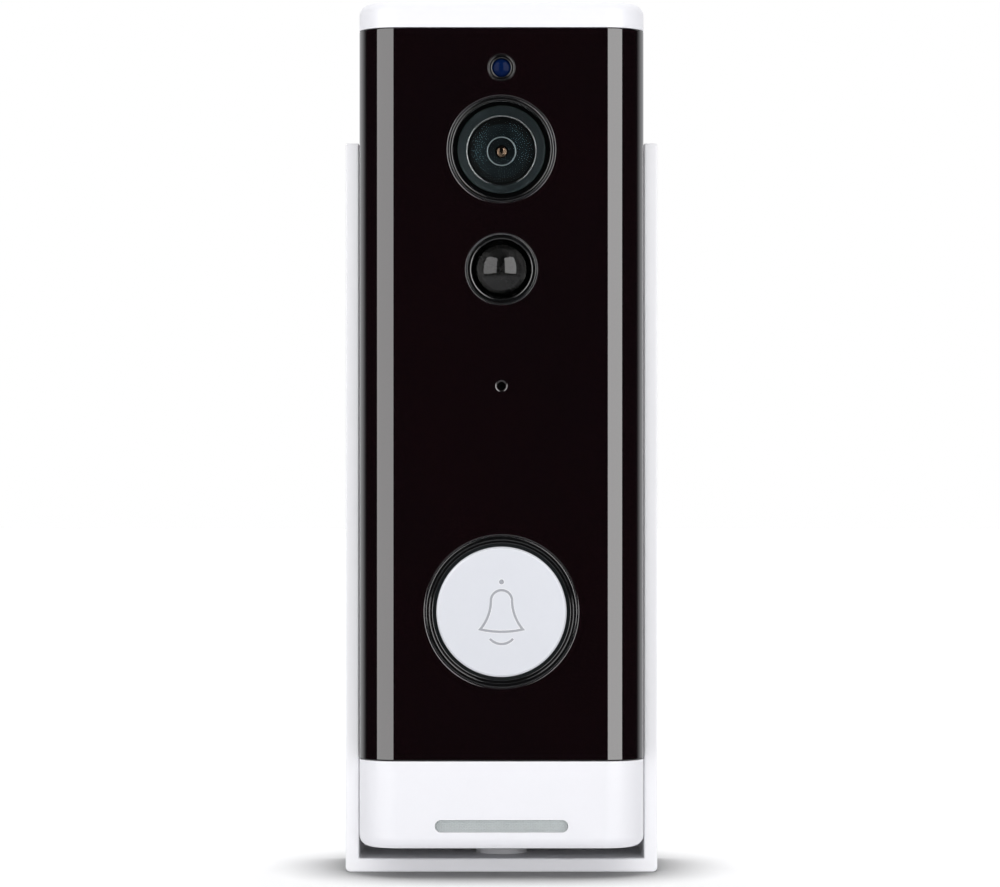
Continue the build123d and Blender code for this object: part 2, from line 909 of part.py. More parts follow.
def switch_stem():
    return rod(stem_radius, 0, button_z, stem_front, stem_front + stem_length)


def button_switch():
    size = switch_size
    body = block(across(size), (switch_front, board_front), around(button_z, size))
    room = stem_front + stem_length + button_travel + stem_spare
    return body - rod(stem_radius + stem_fit, 0, button_z, switch_front - reach, room)


def status_leds():
    size = status_led_size
    depths = (board_front - size / 2, board_front)
    leds = []
    for turn in (45, 135, 225, 315):
        place = Vector(status_led_circle, 0, 0).rotate(Axis.Z, turn)
        leds.append(block(around(place.X, size), depths, around(button_z + place.Y, size)))
    return joined(leds)


# ---------------------------------------------------------------- speaker
def speaker_mesh():
    width = across(pocket_width - 2 * mesh_margin)
    front = unit_front + grille_wall
    low = unit_bottom + pocket_rise + mesh_margin
    high = low + pocket_height - 2 * mesh_margin
    return block(width, (front, front + mesh_thickness), (low, high))


def speaker_limits():
    """Heights of the speaker, which stands on the front shell's floor."""
    low = unit_bottom + housing_inset + mesh_margin
    return (low, low + speaker_height)


def speaker_gasket():
    low, high = speaker_limits()
    depths = (inner_front, inner_front + gasket_thickness)
    frame = block(across(speaker_width), depths, (low, high))
    inside = (low + gasket_bar, high - gasket_bar)
    return frame - block(across(speaker_width - 2 * gasket_bar), depths, inside)


def speaker():
    low, high = speaker_limits()
    front = inner_front + gasket_thickness
    body = block(across(speaker_width), (front, front + speaker_thickness), (low, high))
    body = fillet(body.edges().filter_by(Axis.Y), speaker_height / 3)
    inside = (low + gasket_bar, high - gasket_bar)
    cone_depths = (front, front + speaker_basket)
    return body - block(across(speaker_width - 2 * gasket_bar), cone_depths, inside)


# ---------------------------------------------------------------- battery
def battery_cell(side):
    """A cell; the left one stands with its nub up, the right one with its nub down."""
    x = side * cell_x
    if side < 0:
        can = upright(cell_radius, x, cell_y, cell_bottom, cell_top - cell_nub_length)
        return can + upright(cell_nub_radius, x, cell_y, cell_top - cell_nub_length, cell_top)
    can = upright(cell_radius, x, cell_y, cell_bottom + cell_nub_length, cell_top)
    return can + upright(cell_nub_radius, x, cell_y, cell_bottom, cell_bottom + cell_nub_length)


def battery_holder():
    width = (-holder_half_width, holder_half_width)
    depths = (holder_front, inner_rear - cell_clearance)
    holder = block(width, depths, (holder_bottom, holder_bottom + holder_plate))
    holder += block(width, depths, (holder_top - holder_plate, holder_top))
    spine_depths = (holder_front, holder_front + spine_depth)
    spine = block((-spine_half_width, spine_half_width), spine_depths, (holder_bottom, holder_top))
    for side in (-1, 1):
        hollow = cell_radius + slide_clearance
        low = holder_bottom + holder_plate
        high = holder_top - holder_plate
        spine -= upright(hollow, side * cell_x, cell_y, low, high)
    channel = channel_half_width + channel_side_wall + rail_side_clearance
    room = (channel_face - rail_side_clearance, inner_rear)
    notch = block((-channel, channel), room, (holder_bottom, holder_top))
    return holder + spine - notch


def battery_contacts():
    tabs = []
    for side in (-1, 1):
        x = around(side * cell_x, contact_size)
        y = around(cell_y, contact_size)
        tabs.append(block(x, y, (cell_bottom - contact_thickness, cell_bottom)))
        tabs.append(block(x, y, (cell_top, cell_top + contact_thickness)))
    return joined(tabs)


def battery_leads():
    y = (main_front + main_back) / 2
    places = (-lead_offset, lead_offset)
    return joined(upright(lead_radius, x, y, holder_top, main_bottom) for x in places)


# ---------------------------------------------------------------- circuit boards
def front_board(low, high, holes):
    board = block(across(front_board_width), (board_front, board_back), (low, high))
    for x, z in holes:
        board -= rod(board_screw_radius + board_hole_gap, x, z, board_front, board_back)
    return board


def sensor_board():
    board = front_board(sensor_board_bottom, sensor_board_top, sensor_board_holes())
    return board - rod(barrel_radius + barrel_clearance, 0, camera_z, board_front, board_back)


def button_board():
    low, high = button_board_limits()
    return front_board(low, high, button_board_holes())


def main_board():
    board = block(across(main_board_width), (main_front, main_back), (main_bottom, main_top))
    for x, z in main_board_holes():
        board -= rod(board_screw_radius + board_hole_gap, x, z, main_front, main_back)
    return board


def board_screws():
    head = (board_screw_head_radius, board_screw_head_height)
    piece = screw(board_screw_radius, *head, board_screw_length)
    front_holes = sensor_board_holes() + button_board_holes()
    front = [Pos(x, board_back, z) * Rot(-90, 0, 0) * piece for x, z in front_holes]
    rear = [Pos(x, main_front, z) * Rot(90, 0, 0) * piece for x, z in main_board_holes()]
    return joined(front + rear)


def on_main_board(x, z, width, height, thickness):
    """A part on the front of the main board."""
    return block(around(x, width), (main_front - thickness, main_front), around(z, height))


def processor():
    size = processor_size
    return on_main_board(chip_offset, main_bottom + chip_rise, size, size, processor_thickness)


def shield_can():
    z = main_bottom + chip_rise
    can = on_main_board(-chip_offset, z, shield_width, shield_height, shield_thickness)
    width = shield_width - 2 * shield_wall
    height = shield_height - 2 * shield_wall
    return can - on_main_board(-chip_offset, z, width, height, shield_thickness - shield_wall)


def wifi_module():
    width = shield_width - 2 * wifi_margin
    height = shield_height - 2 * wifi_margin
    return on_main_board(-chip_offset, main_bottom + chip_rise, width, height, wifi_thickness)


def antenna():
    z = main_top - antenna_height / 2
    return on_main_board(0, z, antenna_width, antenna_height, antenna_thickness)


def ribbon_z():
    return unit_top - ribbon_drop


def board_ribbon():
    depths = (board_back + connector_thickness, main_front - connector_thickness)
    return block(across(ribbon_width), depths, around(ribbon_z(), ribbon_thickness))


def ribbon_connectors():
    width = across(ribbon_width + 2)
    heights = around(ribbon_z(), connector_height)
    front = block(width, (board_back, board_back + connector_thickness), heights)
    rear = block(width, (main_front - connector_thickness, main_front), heights)
    return joined([front, rear])


def button_ribbon():
    low = button_board_limits()[1] - link_overlap
    high = sensor_board_bottom + link_overlap
    return block(across(link_width), (board_back, board_back + ribbon_thickness), (low, high))


# ---------------------------------------------------------------- port and reset on the back
def usb_socket():
    outline = SlotOverall(port_width, port_height)
    inside = SlotOverall(port_width - 2 * port_wall, port_height - 2 * port_wall)
    mouth = unit_rear - flap_thickness - 2 * flap_gap
    length = mouth - main_back
    shell = extrude(front_plane(0, mouth, port_z) * outline, length)
    shell -= extrude(front_plane(0, mouth, port_z) * inside, port_depth)
    tongue = block(
        across(port_tongue_width),
        (mouth - port_depth - port_wall, mouth - port_depth + port_tongue_length),
        around(port_z, port_tongue_thickness),
    )
    return shell + tongue


def port_cover():
    floor = unit_rear - flap_thickness
    flap = block(flap_limits(), (floor, unit_rear), around(port_z, flap_height))
    gap = port_wall + plug_side_gap
    plug = SlotOverall(port_width - 2 * gap, port_height - 2 * gap)
    return flap + extrude(front_plane(0, floor, port_z) * plug, plug_depth)


def port_cover_tab():
    left = flap_limits()[0]
    depths = (unit_rear - flap_thickness, unit_rear)
    return block((left - flap_tab_width, left), depths, around(port_z, flap_height))


def reset_button():
    flange_back = inner_rear - reset_fit
    flange_front = flange_back - reset_flange_thickness
    tip = main_back + reset_switch_height - reset_stem_in
    button = rod(reset_radius, reset_offset, port_z, flange_back, unit_rear - reset_sink)
    button += rod(reset_flange_radius, reset_offset, port_z, flange_front, flange_back)
    return button + rod(reset_stem_radius, reset_offset, port_z, tip, flange_front)


def reset_switch():
    size = reset_switch_size
    top = main_back + reset_switch_height
    body = block(around(reset_offset, size), (main_back, top), around(port_z, size))
    room = top - reset_stem_in - reset_travel - stem_spare
    return body - rod(reset_stem_radius + stem_fit, reset_offset, port_z, room, top)


nodes = {
    "wall_cradle": wall_cradle(),
    "security_washer": security_washer(),
    "security_screw": security_screw(),
    "security_insert": security_insert(),
    "front_housing": front_housing(),
    "front_panel": front_panel(),
    "rear_cover": rear_cover(),
    "housing_seal": housing_seal(),
    "housing_screws": housing_screws(),
    "screw_plugs": screw_plugs(),
    "camera_bezel": camera_bezel(),
    "camera_window": camera_window(),
    "lens_hood": lens_hood(),
    "lens_barrel": lens_barrel(),
    "front_lens": front_lens(),
    "lens_iris": lens_iris(),
    "inner_lens": inner_lens(),
    "image_sensor": image_sensor(),
    "camera_board": camera_board(),
    "camera_connector": camera_connector(),
    "light_sensor_bezel": light_sensor_bezel(),
    "light_sensor_lens": light_sensor_lens(),
    "light_sensor": light_sensor(),
    "infrared_leds": infrared_leds(),
    "pir_bezel": pir_bezel(),
    "pir_lens": pir_lens(),
    "pir_sensor": pir_sensor(),
    "mic_gasket": mic_gasket(),
    "microphone": microphone(),
    "button_cap": button_cap(),
    "bell_mark": bell_mark(),
    "button_carrier": button_carrier(),
    "light_ring": light_ring(),
    "switch_stem": switch_stem(),
    "button_switch": button_switch(),
    "status_leds": status_leds(),
    "button_board": button_board(),
    "speaker_mesh": speaker_mesh(),
    "speaker_gasket": speaker_gasket(),
    "speaker": speaker(),
    "battery_cell_left": battery_cell(-1),
    "battery_cell_right": battery_cell(1),
    "battery_holder": battery_holder(),
    "battery_contacts": battery_contacts(),
    "battery_leads": battery_leads(),
    "sensor_board": sensor_board(),
    "main_board": main_board(),
    "board_screws": board_screws(),
    "processor": processor(),
    "shield_can": shield_can(),
    "wifi_module": wifi_module(),
    "antenna": antenna(),
    "board_ribbon": board_ribbon(),
    "ribbon_connectors": ribbon_connectors(),
    "button_ribbon": button_ribbon(),
    "usb_socket": usb_socket(),
    "port_cover": port_cover(),
    "port_cover_tab": port_cover_tab(),
    "reset_button": reset_button(),
    "reset_switch": reset_switch(),
}

os.makedirs("parts", exist_ok=True)
for name, shape in nodes.items():
    export_step(shape, f"parts/{name}.step")
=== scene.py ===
# %% [markdown]
# # A video doorbell standing in its wall cradle
#
# The real object is an injection-moulded box of two white shells with a glossy black panel
# wrapped round its front. It holds a camera, a motion dome, a bell button and a small speaker,
# and slides down a rail into a white wall cradle. This lesson dresses the engineering model in
# its finished shapes and materials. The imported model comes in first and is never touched: it
# says where everything is, and the visible pieces are then modelled over it.

# %% Bring in the engineering model
import bpy
import bmesh
import json
import math
from contextlib import contextmanager
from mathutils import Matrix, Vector

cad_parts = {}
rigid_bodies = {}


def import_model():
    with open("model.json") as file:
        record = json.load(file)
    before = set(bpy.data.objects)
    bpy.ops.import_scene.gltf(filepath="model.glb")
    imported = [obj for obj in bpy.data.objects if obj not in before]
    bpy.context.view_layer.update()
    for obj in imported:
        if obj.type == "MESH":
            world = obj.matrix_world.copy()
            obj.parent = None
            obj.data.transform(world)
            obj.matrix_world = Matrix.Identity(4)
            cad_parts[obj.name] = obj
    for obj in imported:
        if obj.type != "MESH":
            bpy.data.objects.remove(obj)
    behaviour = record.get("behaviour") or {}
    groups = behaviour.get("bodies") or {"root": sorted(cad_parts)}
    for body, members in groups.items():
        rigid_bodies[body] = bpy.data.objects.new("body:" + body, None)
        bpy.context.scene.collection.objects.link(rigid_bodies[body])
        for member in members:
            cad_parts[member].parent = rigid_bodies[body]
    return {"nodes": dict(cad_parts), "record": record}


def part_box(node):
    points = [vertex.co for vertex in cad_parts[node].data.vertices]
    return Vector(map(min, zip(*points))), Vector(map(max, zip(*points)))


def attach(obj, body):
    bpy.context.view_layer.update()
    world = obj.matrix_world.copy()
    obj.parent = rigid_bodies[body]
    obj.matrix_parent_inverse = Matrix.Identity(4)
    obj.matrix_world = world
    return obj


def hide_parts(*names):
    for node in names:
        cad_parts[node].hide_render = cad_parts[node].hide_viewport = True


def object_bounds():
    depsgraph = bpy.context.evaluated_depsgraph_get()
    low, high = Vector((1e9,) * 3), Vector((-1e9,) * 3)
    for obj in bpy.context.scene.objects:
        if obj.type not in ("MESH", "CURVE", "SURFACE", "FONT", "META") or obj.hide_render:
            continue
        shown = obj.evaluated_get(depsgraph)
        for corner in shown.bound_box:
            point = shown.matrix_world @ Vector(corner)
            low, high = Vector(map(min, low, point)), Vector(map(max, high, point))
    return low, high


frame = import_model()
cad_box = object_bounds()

mm = 0.001
print("box, mm:", [[round(c / mm, 2) for c in corner] for corner in cad_box])

# %% [markdown]
# ## The places that everything is measured from
#
# A model maker marks a few reference lines first. Here they are read from the engineering
# model's boxes: the front face, the seam between the two shells, the back, and the heights of
# the things in the panel. Every later size is in millimetres from one of these.

# %% Reference lines
def box_of(node):
    """A node's lowest and highest corner, in millimetres."""
    low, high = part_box(node)
    return low / mm, high / mm


def height_of(node):
    low, high = box_of(node)
    return (low.z + high.z) / 2


shell_low, shell_high = box_of("front_housing")
front = shell_low.y
half_width = shell_high.x
bottom, top = shell_low.z, shell_high.z
seam = box_of("rear_cover")[0].y
back = box_of("rear_cover")[1].y
joint_gap = 0.1
chin_line = box_of("front_panel")[0].z - joint_gap
cap_line = box_of("front_panel")[1].z + joint_gap
camera_z = height_of("camera_window")
light_z = height_of("light_sensor_lens")
motion_z = height_of("pir_lens")
sound_z = height_of("mic_gasket")
bell_z = height_of("light_ring")
port_z = height_of("port_cover")
print("front", round(front, 2), "seam", round(seam, 2), "back", round(back, 2))
print("chin line", round(chin_line, 2), "cap line", round(cap_line, 2))

# %% [markdown]
# ## The camera
#
# The doorbell is seen straight on from about 60 cm, with the lens level a little above the
# bell button. The camera isn't tilted, so that upright edges stay upright, and a small shift
# sets the frame. A long lens keeps the cradle behind the unit close to its own size.

# %% Camera
view_distance = 600.0
view_height = 4.1
bpy.ops.object.select_all(action="DESELECT")
bpy.ops.object.camera_add(
    location=(0, (front - view_distance) * mm, view_height * mm),
    rotation=(math.radians(90), 0, 0),
)
camera = bpy.context.object
camera.name = "studio_camera"
camera.data.sensor_width = 36.0
camera.data.lens = 134.8
camera.data.shift_x = -0.0015
camera.data.shift_y = 0.0165
camera.data.clip_start, camera.data.clip_end = 0.01, 50
bpy.context.scene.camera = camera
print("camera", [round(c, 3) for c in camera.location])

# %% [markdown]
# ## The studio
#
# A product table: a pale floor, a softbox on either side, and two very wide suns, one above
# and one in front. The suns give the soft light and are never reflected. The softboxes are
# only ever seen reflected: one upright streak along each rounded edge of the black panel. The
# space between them is left dark, so that the panel's flat face stays black.

# %% Floor and lights
floor_size = 6.0
bpy.ops.mesh.primitive_plane_add(size=floor_size, location=(0, 0, cad_box[0].z))
floor = bpy.context.object
floor.name = "floor"
bpy.ops.object.transform_apply(location=True)
floor.visible_glossy = False


def softbox(name, angle, width, radiance):
    """A rectangular area light that faces the object. The angle is from straight in front,
    to the right; the radiance is how bright its face looks."""
    distance, bottom_edge, top_edge = 0.65, -0.112, 0.655
    height, level = top_edge - bottom_edge, (top_edge + bottom_edge) / 2
    turn = math.radians(angle)
    place = Vector((math.sin(turn), -math.cos(turn), 0)) * distance
    bpy.ops.object.light_add(type="AREA", location=Vector((0, front * mm, level)) + place)
    light = bpy.context.object
    light.name = name
    light.rotation_euler = place.to_track_quat("Z", "Y").to_euler()
    light.data.shape = "RECTANGLE"
    light.data.size, light.data.size_y = width, height
    light.data.energy = radiance * math.pi * width * height
    light.data.color = (1.0, 0.99, 0.99)
    light.visible_diffuse = False


def broad_sun(name, energy, spread, tilt):
    """A very wide sun, for soft light with no reflection of its own. A tilt of 0 shines
    straight down and 90 shines level, from the front."""
    bpy.ops.object.light_add(type="SUN", location=(0, 0, 1.5), rotation=(math.radians(tilt), 0, 0))
    light = bpy.context.object
    light.name = name
    light.data.energy = energy
    light.data.angle = math.radians(spread)
    light.visible_glossy = light.visible_transmission = False


softbox("left_softbox", -42.4, 0.60, 2.7)
softbox("right_softbox", 33.7, 0.50, 3.7)
broad_sun("overhead", 2.5, 110, 0)
broad_sun("front_fill", 1.15, 40, 84)
print("floor at", round(cad_box[0].z / mm, 2), "mm")

# %% [markdown]
# The room round the table is a pale grey to whatever it lights. Glossy surfaces see more of
# it: white behind the object, so that edges seen at a slant catch a pale line, a pale table
# below, and dark from the sides to the front. Seen directly it is plain white, like paper.

# %% The room
world = bpy.data.worlds.new("studio_room")
bpy.context.scene.world = world
world.use_nodes = True
room = world.node_tree
room.nodes.clear()


def node(tree, kind, **inputs):
    """Adds a node and sets its unlinked inputs by name."""
    made = tree.nodes.new(kind)
    for key, value in inputs.items():
        made.inputs[key.replace("_", " ")].default_value = value
    return made


def join(tree, *pairs):
    """Links pairs of sockets."""
    for start, end in pairs:
        tree.links.new(start, end)


def maths(tree, operation, a, b=None, c=None):
    """A maths node. Its inputs are numbers or sockets."""
    made = tree.nodes.new("ShaderNodeMath")
    made.operation = operation
    for index, value in enumerate((a, b, c)):
        if isinstance(value, bpy.types.NodeSocket):
            tree.links.new(value, made.inputs[index])
        elif value is not None:
            made.inputs[index].default_value = value
    return made.outputs[0]


direction = node(room, "ShaderNodeTexCoord")
split_axes = node(room, "ShaderNodeSeparateXYZ")
join(room, (direction.outputs["Generated"], split_axes.inputs[0]))


def glow(axis, start, end, darkest, brightest):
    """A soft step in the room's brightness along one axis of the direction looked in."""
    step = node(room, "ShaderNodeMapRange", From_Min=start, From_Max=end, To_Min=darkest, To_Max=brightest)
    step.interpolation_type = "SMOOTHSTEP"
    join(room, (split_axes.outputs[axis], step.inputs["Value"]))
    return step.outputs[0]


behind = glow("Y", 0.30, 0.75, 0.012, 0.85)
below = glow("Z", -0.27, -0.42, 0.0, 0.5)
above = glow("Z", 0.4, 0.95, 0.0, 0.14)
studio = node(room, "ShaderNodeBackground", Color=(0.97, 0.98, 1.0, 1.0))
paper = node(room, "ShaderNodeBackground", Color=(1.0, 1.0, 1.0, 1.0), Strength=1.0)
ambient = node(room, "ShaderNodeBackground", Color=(0.99, 0.99, 1.0, 1.0), Strength=0.45)
rays = node(room, "ShaderNodeLightPath")
mirrored = maths(room, "ADD", rays.outputs["Is Glossy Ray"], rays.outputs["Is Transmission Ray"])
mirrored.node.use_clamp = True
for_gloss = node(room, "ShaderNodeMixShader")
choose = node(room, "ShaderNodeMixShader")
sky_out = node(room, "ShaderNodeOutputWorld")
join(
    room,
    (maths(room, "ADD", maths(room, "ADD", behind, below), above), studio.inputs["Strength"]),
    (mirrored, for_gloss.inputs[0]),
    (ambient.outputs[0], for_gloss.inputs[1]),
    (studio.outputs[0], for_gloss.inputs[2]),
    (rays.outputs["Is Camera Ray"], choose.inputs[0]),
    (for_gloss.outputs[0], choose.inputs[1]),
    (paper.outputs[0], choose.inputs[2]),
    (choose.outputs[0], sky_out.inputs["Surface"]),
)
bpy.context.scene.view_settings.view_transform = "Standard"
print("room nodes", len(room.nodes))

# %% [markdown]
# ## Working by hand, in code
#
# The same few moves come back for every piece: clear the selection, start from a primitive,
# go into edit mode, pick faces or edges by where they are, and apply a modifier. They are
# written once here.

# %% Helpers for modelling
def deselect():
    if bpy.context.mode != "OBJECT":
        bpy.ops.object.mode_set(mode="OBJECT")
    bpy.ops.object.select_all(action="DESELECT")


def take(piece):
    """Makes a piece the only selected one."""
    deselect()
    piece.select_set(True)
    bpy.context.view_layer.objects.active = piece


@contextmanager
def editing(piece):
    take(piece)
    bpy.ops.object.mode_set(mode="EDIT")
    yield
    bpy.ops.object.mode_set(mode="OBJECT")


def middle(part):
    """The middle of a vertex, an edge or a face of an edited mesh."""
    corners = getattr(part, "verts", [part])
    return sum((v.co for v in corners), Vector()) / len(corners) / mm


def pick(kind, test):
    """Selects the vertices, edges or faces that pass a test, and nothing else."""
    bpy.ops.mesh.select_mode(type=kind)
    bpy.ops.mesh.select_all(action="DESELECT")
    data = bpy.context.edit_object.data
    mesh = bmesh.from_edit_mesh(data)
    parts = {"VERT": mesh.verts, "EDGE": mesh.edges, "FACE": mesh.faces}[kind]
    chosen = [part for part in parts if test(part)]
    for part in chosen:
        part.select_set(True)
    bmesh.update_edit_mesh(data)
    return len(chosen)


def modify(piece, kind, **settings):
    """Adds a modifier with its settings and applies it."""
    take(piece)
    modifier = piece.modifiers.new(kind.title(), kind)
    for key, value in settings.items():
        setattr(modifier, key, value)
    bpy.ops.object.modifier_apply(modifier=modifier.name)


def carve(piece, *tools, how="DIFFERENCE"):
    """Cuts tools out of a piece, or joins them to it. The tools are used up."""
    for tool in tools:
        modify(piece, "BOOLEAN", operation=how, object=tool, solver="EXACT")
        bpy.data.objects.remove(tool)


def placed(name):
    """Applies a new primitive's place, turn and size to its mesh, and names it."""
    bpy.ops.object.transform_apply(location=True, rotation=True, scale=True)
    bpy.context.object.name = name
    return bpy.context.object


def block(name, x, y, z):
    """A cube primitive stretched between (low, high) limits, in millimetres."""
    deselect()
    centre = Vector([(a + b) / 2 for a, b in (x, y, z)]) * mm
    size = Vector([b - a for a, b in (x, y, z)]) * mm
    bpy.ops.mesh.primitive_cube_add(size=1, location=centre, scale=size)
    return placed(name)


def round_edges(piece, test, radius, segments=4):
    """Bevels the edges that pass a test to an arc."""
    with editing(piece):
        pick("EDGE", test)
        bpy.ops.mesh.bevel(offset=radius * mm, segments=segments, affect="EDGES")


def near(a, b, within=0.01):
    return abs(a - b) < within


def along_depth(e):
    """Whether an edge runs straight back."""
    a, b = (v.co for v in e.verts)
    return near(a.x, b.x, 1e-6) and near(a.z, b.z, 1e-6)


def merged(*pieces):
    """Joins pieces into the first of them."""
    deselect()
    for piece in pieces:
        piece.select_set(True)
    bpy.context.view_layer.objects.active = pieces[0]
    bpy.ops.object.join()
    return pieces[0]


print("modelling helpers ready")

# %% [markdown]
# Round pieces are turned as on a lathe. A circle is drawn at the first step of the outline,
# and its rim is extruded and resized to each of the others. The outline is given as radius
# and depth behind the unit's front face, which is how a turner reads a drawing.

# %% Helpers for round pieces
def turned(name, outline, z, around=96, x=0, start=front):
    """A round piece about a line along Y, from (radius, depth) steps in millimetres. A last
    step equal to the first closes a ring; otherwise each open end gets a face."""
    deselect()
    radius, depth = outline[0]
    centre = Vector((x, start + depth, z)) * mm
    bpy.ops.mesh.primitive_circle_add(
        vertices=around, radius=radius * mm, location=centre, rotation=(math.radians(90), 0, 0)
    )
    piece = placed(name)
    with editing(piece):
        bpy.ops.mesh.select_all(action="SELECT")
        for next_radius, next_depth in outline[1:]:
            move = {"value": (0, (next_depth - depth) * mm, 0)}
            bpy.ops.mesh.extrude_region_move(TRANSFORM_OT_translate=move)
            size = next_radius / radius
            pivot = Vector((x, start + next_depth, z)) * mm
            bpy.ops.transform.resize(value=(size, 1, size), center_override=pivot)
            radius, depth = next_radius, next_depth
        bpy.ops.mesh.select_all(action="SELECT")
        bpy.ops.mesh.remove_doubles(threshold=1e-7)
        for _ in range(2):
            if pick("EDGE", lambda e: e.is_boundary):
                bpy.ops.mesh.fill_holes(sides=0)
        bpy.ops.mesh.select_all(action="SELECT")
        bpy.ops.mesh.normals_make_consistent(inside=False)
    return piece


def arc(radius, depth, size, start, end, steps=5):
    """Steps along a rounded edge of the given size about (radius, depth). An angle of 0
    points outwards and 90 forwards."""
    turns = [math.radians(start + (end - start) * i / steps) for i in range(steps + 1)]
    return [(radius + size * math.cos(t), depth - size * math.sin(t)) for t in turns]


def dome(radius, rise, crown, steps=14):
    """Steps from a dome's edge to its crown."""
    ball = (radius**2 + rise**2) / (2 * rise)
    widest = math.asin(radius / ball)
    turns = [widest * (1 - i / steps) for i in range(steps + 1)]
    return [(ball * math.sin(t), crown + ball * (1 - math.cos(t))) for t in turns]


def slot_shape(name, width, height, y, z):
    """A round-ended bar between two depths: a cylinder whose two halves are pulled apart."""
    deselect()
    bpy.ops.mesh.primitive_cylinder_add(
        vertices=48,
        radius=height / 2 * mm,
        depth=(y[1] - y[0]) * mm,
        location=Vector((0, (y[0] + y[1]) / 2, z)) * mm,
        rotation=(math.radians(90), 0, 0),
    )
    piece = placed(name)
    pull = (width - height) / 2 * mm
    with editing(piece):
        for side in (1, -1):
            pick("VERT", lambda v: side * middle(v).x > 0.001)
            bpy.ops.transform.translate(value=(side * pull, 0, 0))
    return piece


def drill(radius, bevel, x, z, depth, start=front):
    """The shape that a round hole takes away, with its edge rounded as polishing leaves it.
    It goes in from the front, or from the back if that is its start."""
    inwards = 1 if start == front else -1
    rim = arc(radius + bevel, bevel, -bevel, 270, 360, 4)
    (r0, d0), (r1, d1) = rim[:2]
    reach = 1.0
    outline = [(r0 + reach, d0 - reach * (d1 - d0) / (r0 - r1)), *rim, (radius, depth)]
    return turned("drill", [(r, inwards * d) for r, d in outline], z, 96, x, start)


print("round helpers ready")

# %% [markdown]
# ## The white shells and the black panel
#
# The unit's outside is one rounded box: two large radii down its front, two smaller ones
# down its back and a soft rim round top and bottom. A moulder would cut both shells from one
# master shape so that they meet exactly, and that is what is done here. The box is a cube
# with its edges bevelled, and each part is cut from a fresh one.

# %% The master shape
front_radius, rear_radius, rim_radius = 6.5, 3.0, 1.8


def master(name):
    piece = block(name, (-half_width, half_width), (front, back), (bottom, top))

    def upright_at(depth):
        return lambda e: near(e.verts[0].co.y / mm, depth) and near(middle(e).z, (bottom + top) / 2)

    def on_rim(e):
        heights = [v.co.z / mm for v in e.verts]
        return all(near(h, top) for h in heights) or all(near(h, bottom) for h in heights)

    round_edges(piece, upright_at(front), front_radius, 20)
    round_edges(piece, upright_at(back), rear_radius, 10)
    round_edges(piece, on_rim, rim_radius, 7)
    return piece


def cut_at(point, normal, **keep):
    """Cuts the edited mesh with a plane. keep may clear one side of it."""
    bpy.ops.mesh.select_all(action="SELECT")
    bpy.ops.mesh.bisect(plane_co=Vector(point) * mm, plane_no=normal, **keep)


# %% [markdown]
# The front shell is one moulding: white cap, white chin, and a wall between them that is set
# back by the panel's thickness. The master is cut at the seam, cut through at the cap and
# chin lines, and the band between them is extruded inwards. Solidify gives it its wall.

# %% Front shell
panel_seat, shell_wall = 1.9, 1.6
front_shell = master("front_shell")
with editing(front_shell):
    cut_at((0, seam, 0), (0, 1, 0), clear_outer=True)
    cut_at((0, 0, chin_line), (0, 0, 1))
    cut_at((0, 0, cap_line), (0, 0, 1))
    pick("FACE", lambda f: chin_line < middle(f).z < cap_line)
    bpy.ops.mesh.extrude_region_shrink_fatten(
        TRANSFORM_OT_shrink_fatten={"value": -panel_seat * mm, "use_even_offset": True}
    )
    pick("FACE", lambda f: all(near(v.co.y / mm, seam) for v in f.verts))
    bpy.ops.mesh.delete(type="FACE")
    bpy.ops.mesh.select_all(action="SELECT")
    bpy.ops.mesh.remove_doubles(threshold=1e-6)
    bpy.ops.mesh.normals_make_consistent(inside=False)
modify(front_shell, "SOLIDIFY", thickness=shell_wall * mm, offset=-1, use_even_offset=True)
print("front shell", len(front_shell.data.polygons), "faces")

# %% [markdown]
# Openings are drilled next: the sound slot in the chin, with a shallow pocket behind it for
# the woven mesh, and the holes behind the panel for everything that looks out through it.
# The edges are softened first, while the shape is still simple, because a mould never has a
# truly sharp corner and an edge without a highlight looks drawn on.

# %% Edges and openings of the front shell
mesh_low, mesh_high = box_of("speaker_mesh")
slot_z = bottom + 3.7
slot_width, slot_height = 21.4, 2.04
soft_edge = 0.12


def soften(piece, width=soft_edge, segments=2, angle=50):
    """Rounds every edge that turns by more than an angle."""
    modify(
        piece,
        "BEVEL",
        width=width * mm,
        segments=segments,
        limit_method="ANGLE",
        angle_limit=math.radians(angle),
        use_clamp_overlap=True,
    )


soften(front_shell)
carve(
    front_shell,
    slot_shape("slot", slot_width, slot_height, (front - 1, front + 3), slot_z),
    block(
        "pocket",
        (mesh_low.x - 0.2, mesh_high.x + 0.2),
        (mesh_low.y, front + 3),
        (mesh_low.z - 0.2, mesh_high.z + 0.2),
    ),
)
for radius, x, z in (
    (7.45, 0, camera_z),
    (1.1, 0, light_z),
    (5.65, 0, motion_z),
    (1.9, 0, sound_z),
    (11.45, 0, bell_z),
    (1.4, -13.5, camera_z),
    (1.4, 13.5, camera_z),
):
    carve(front_shell, turned("hole", [(radius, 1.0), (radius, 6.0)], z, 64, x))
print("front shell", len(front_shell.data.polygons), "faces")

# %% [markdown]
# The panel is a U of black acrylic, formed over the front and the two upright corners. It is
# the band of the master between the chin and cap lines, less a hairline gap at each joint.
# Each hole's edge is rounded over by polishing, and that shows as a bright ring.

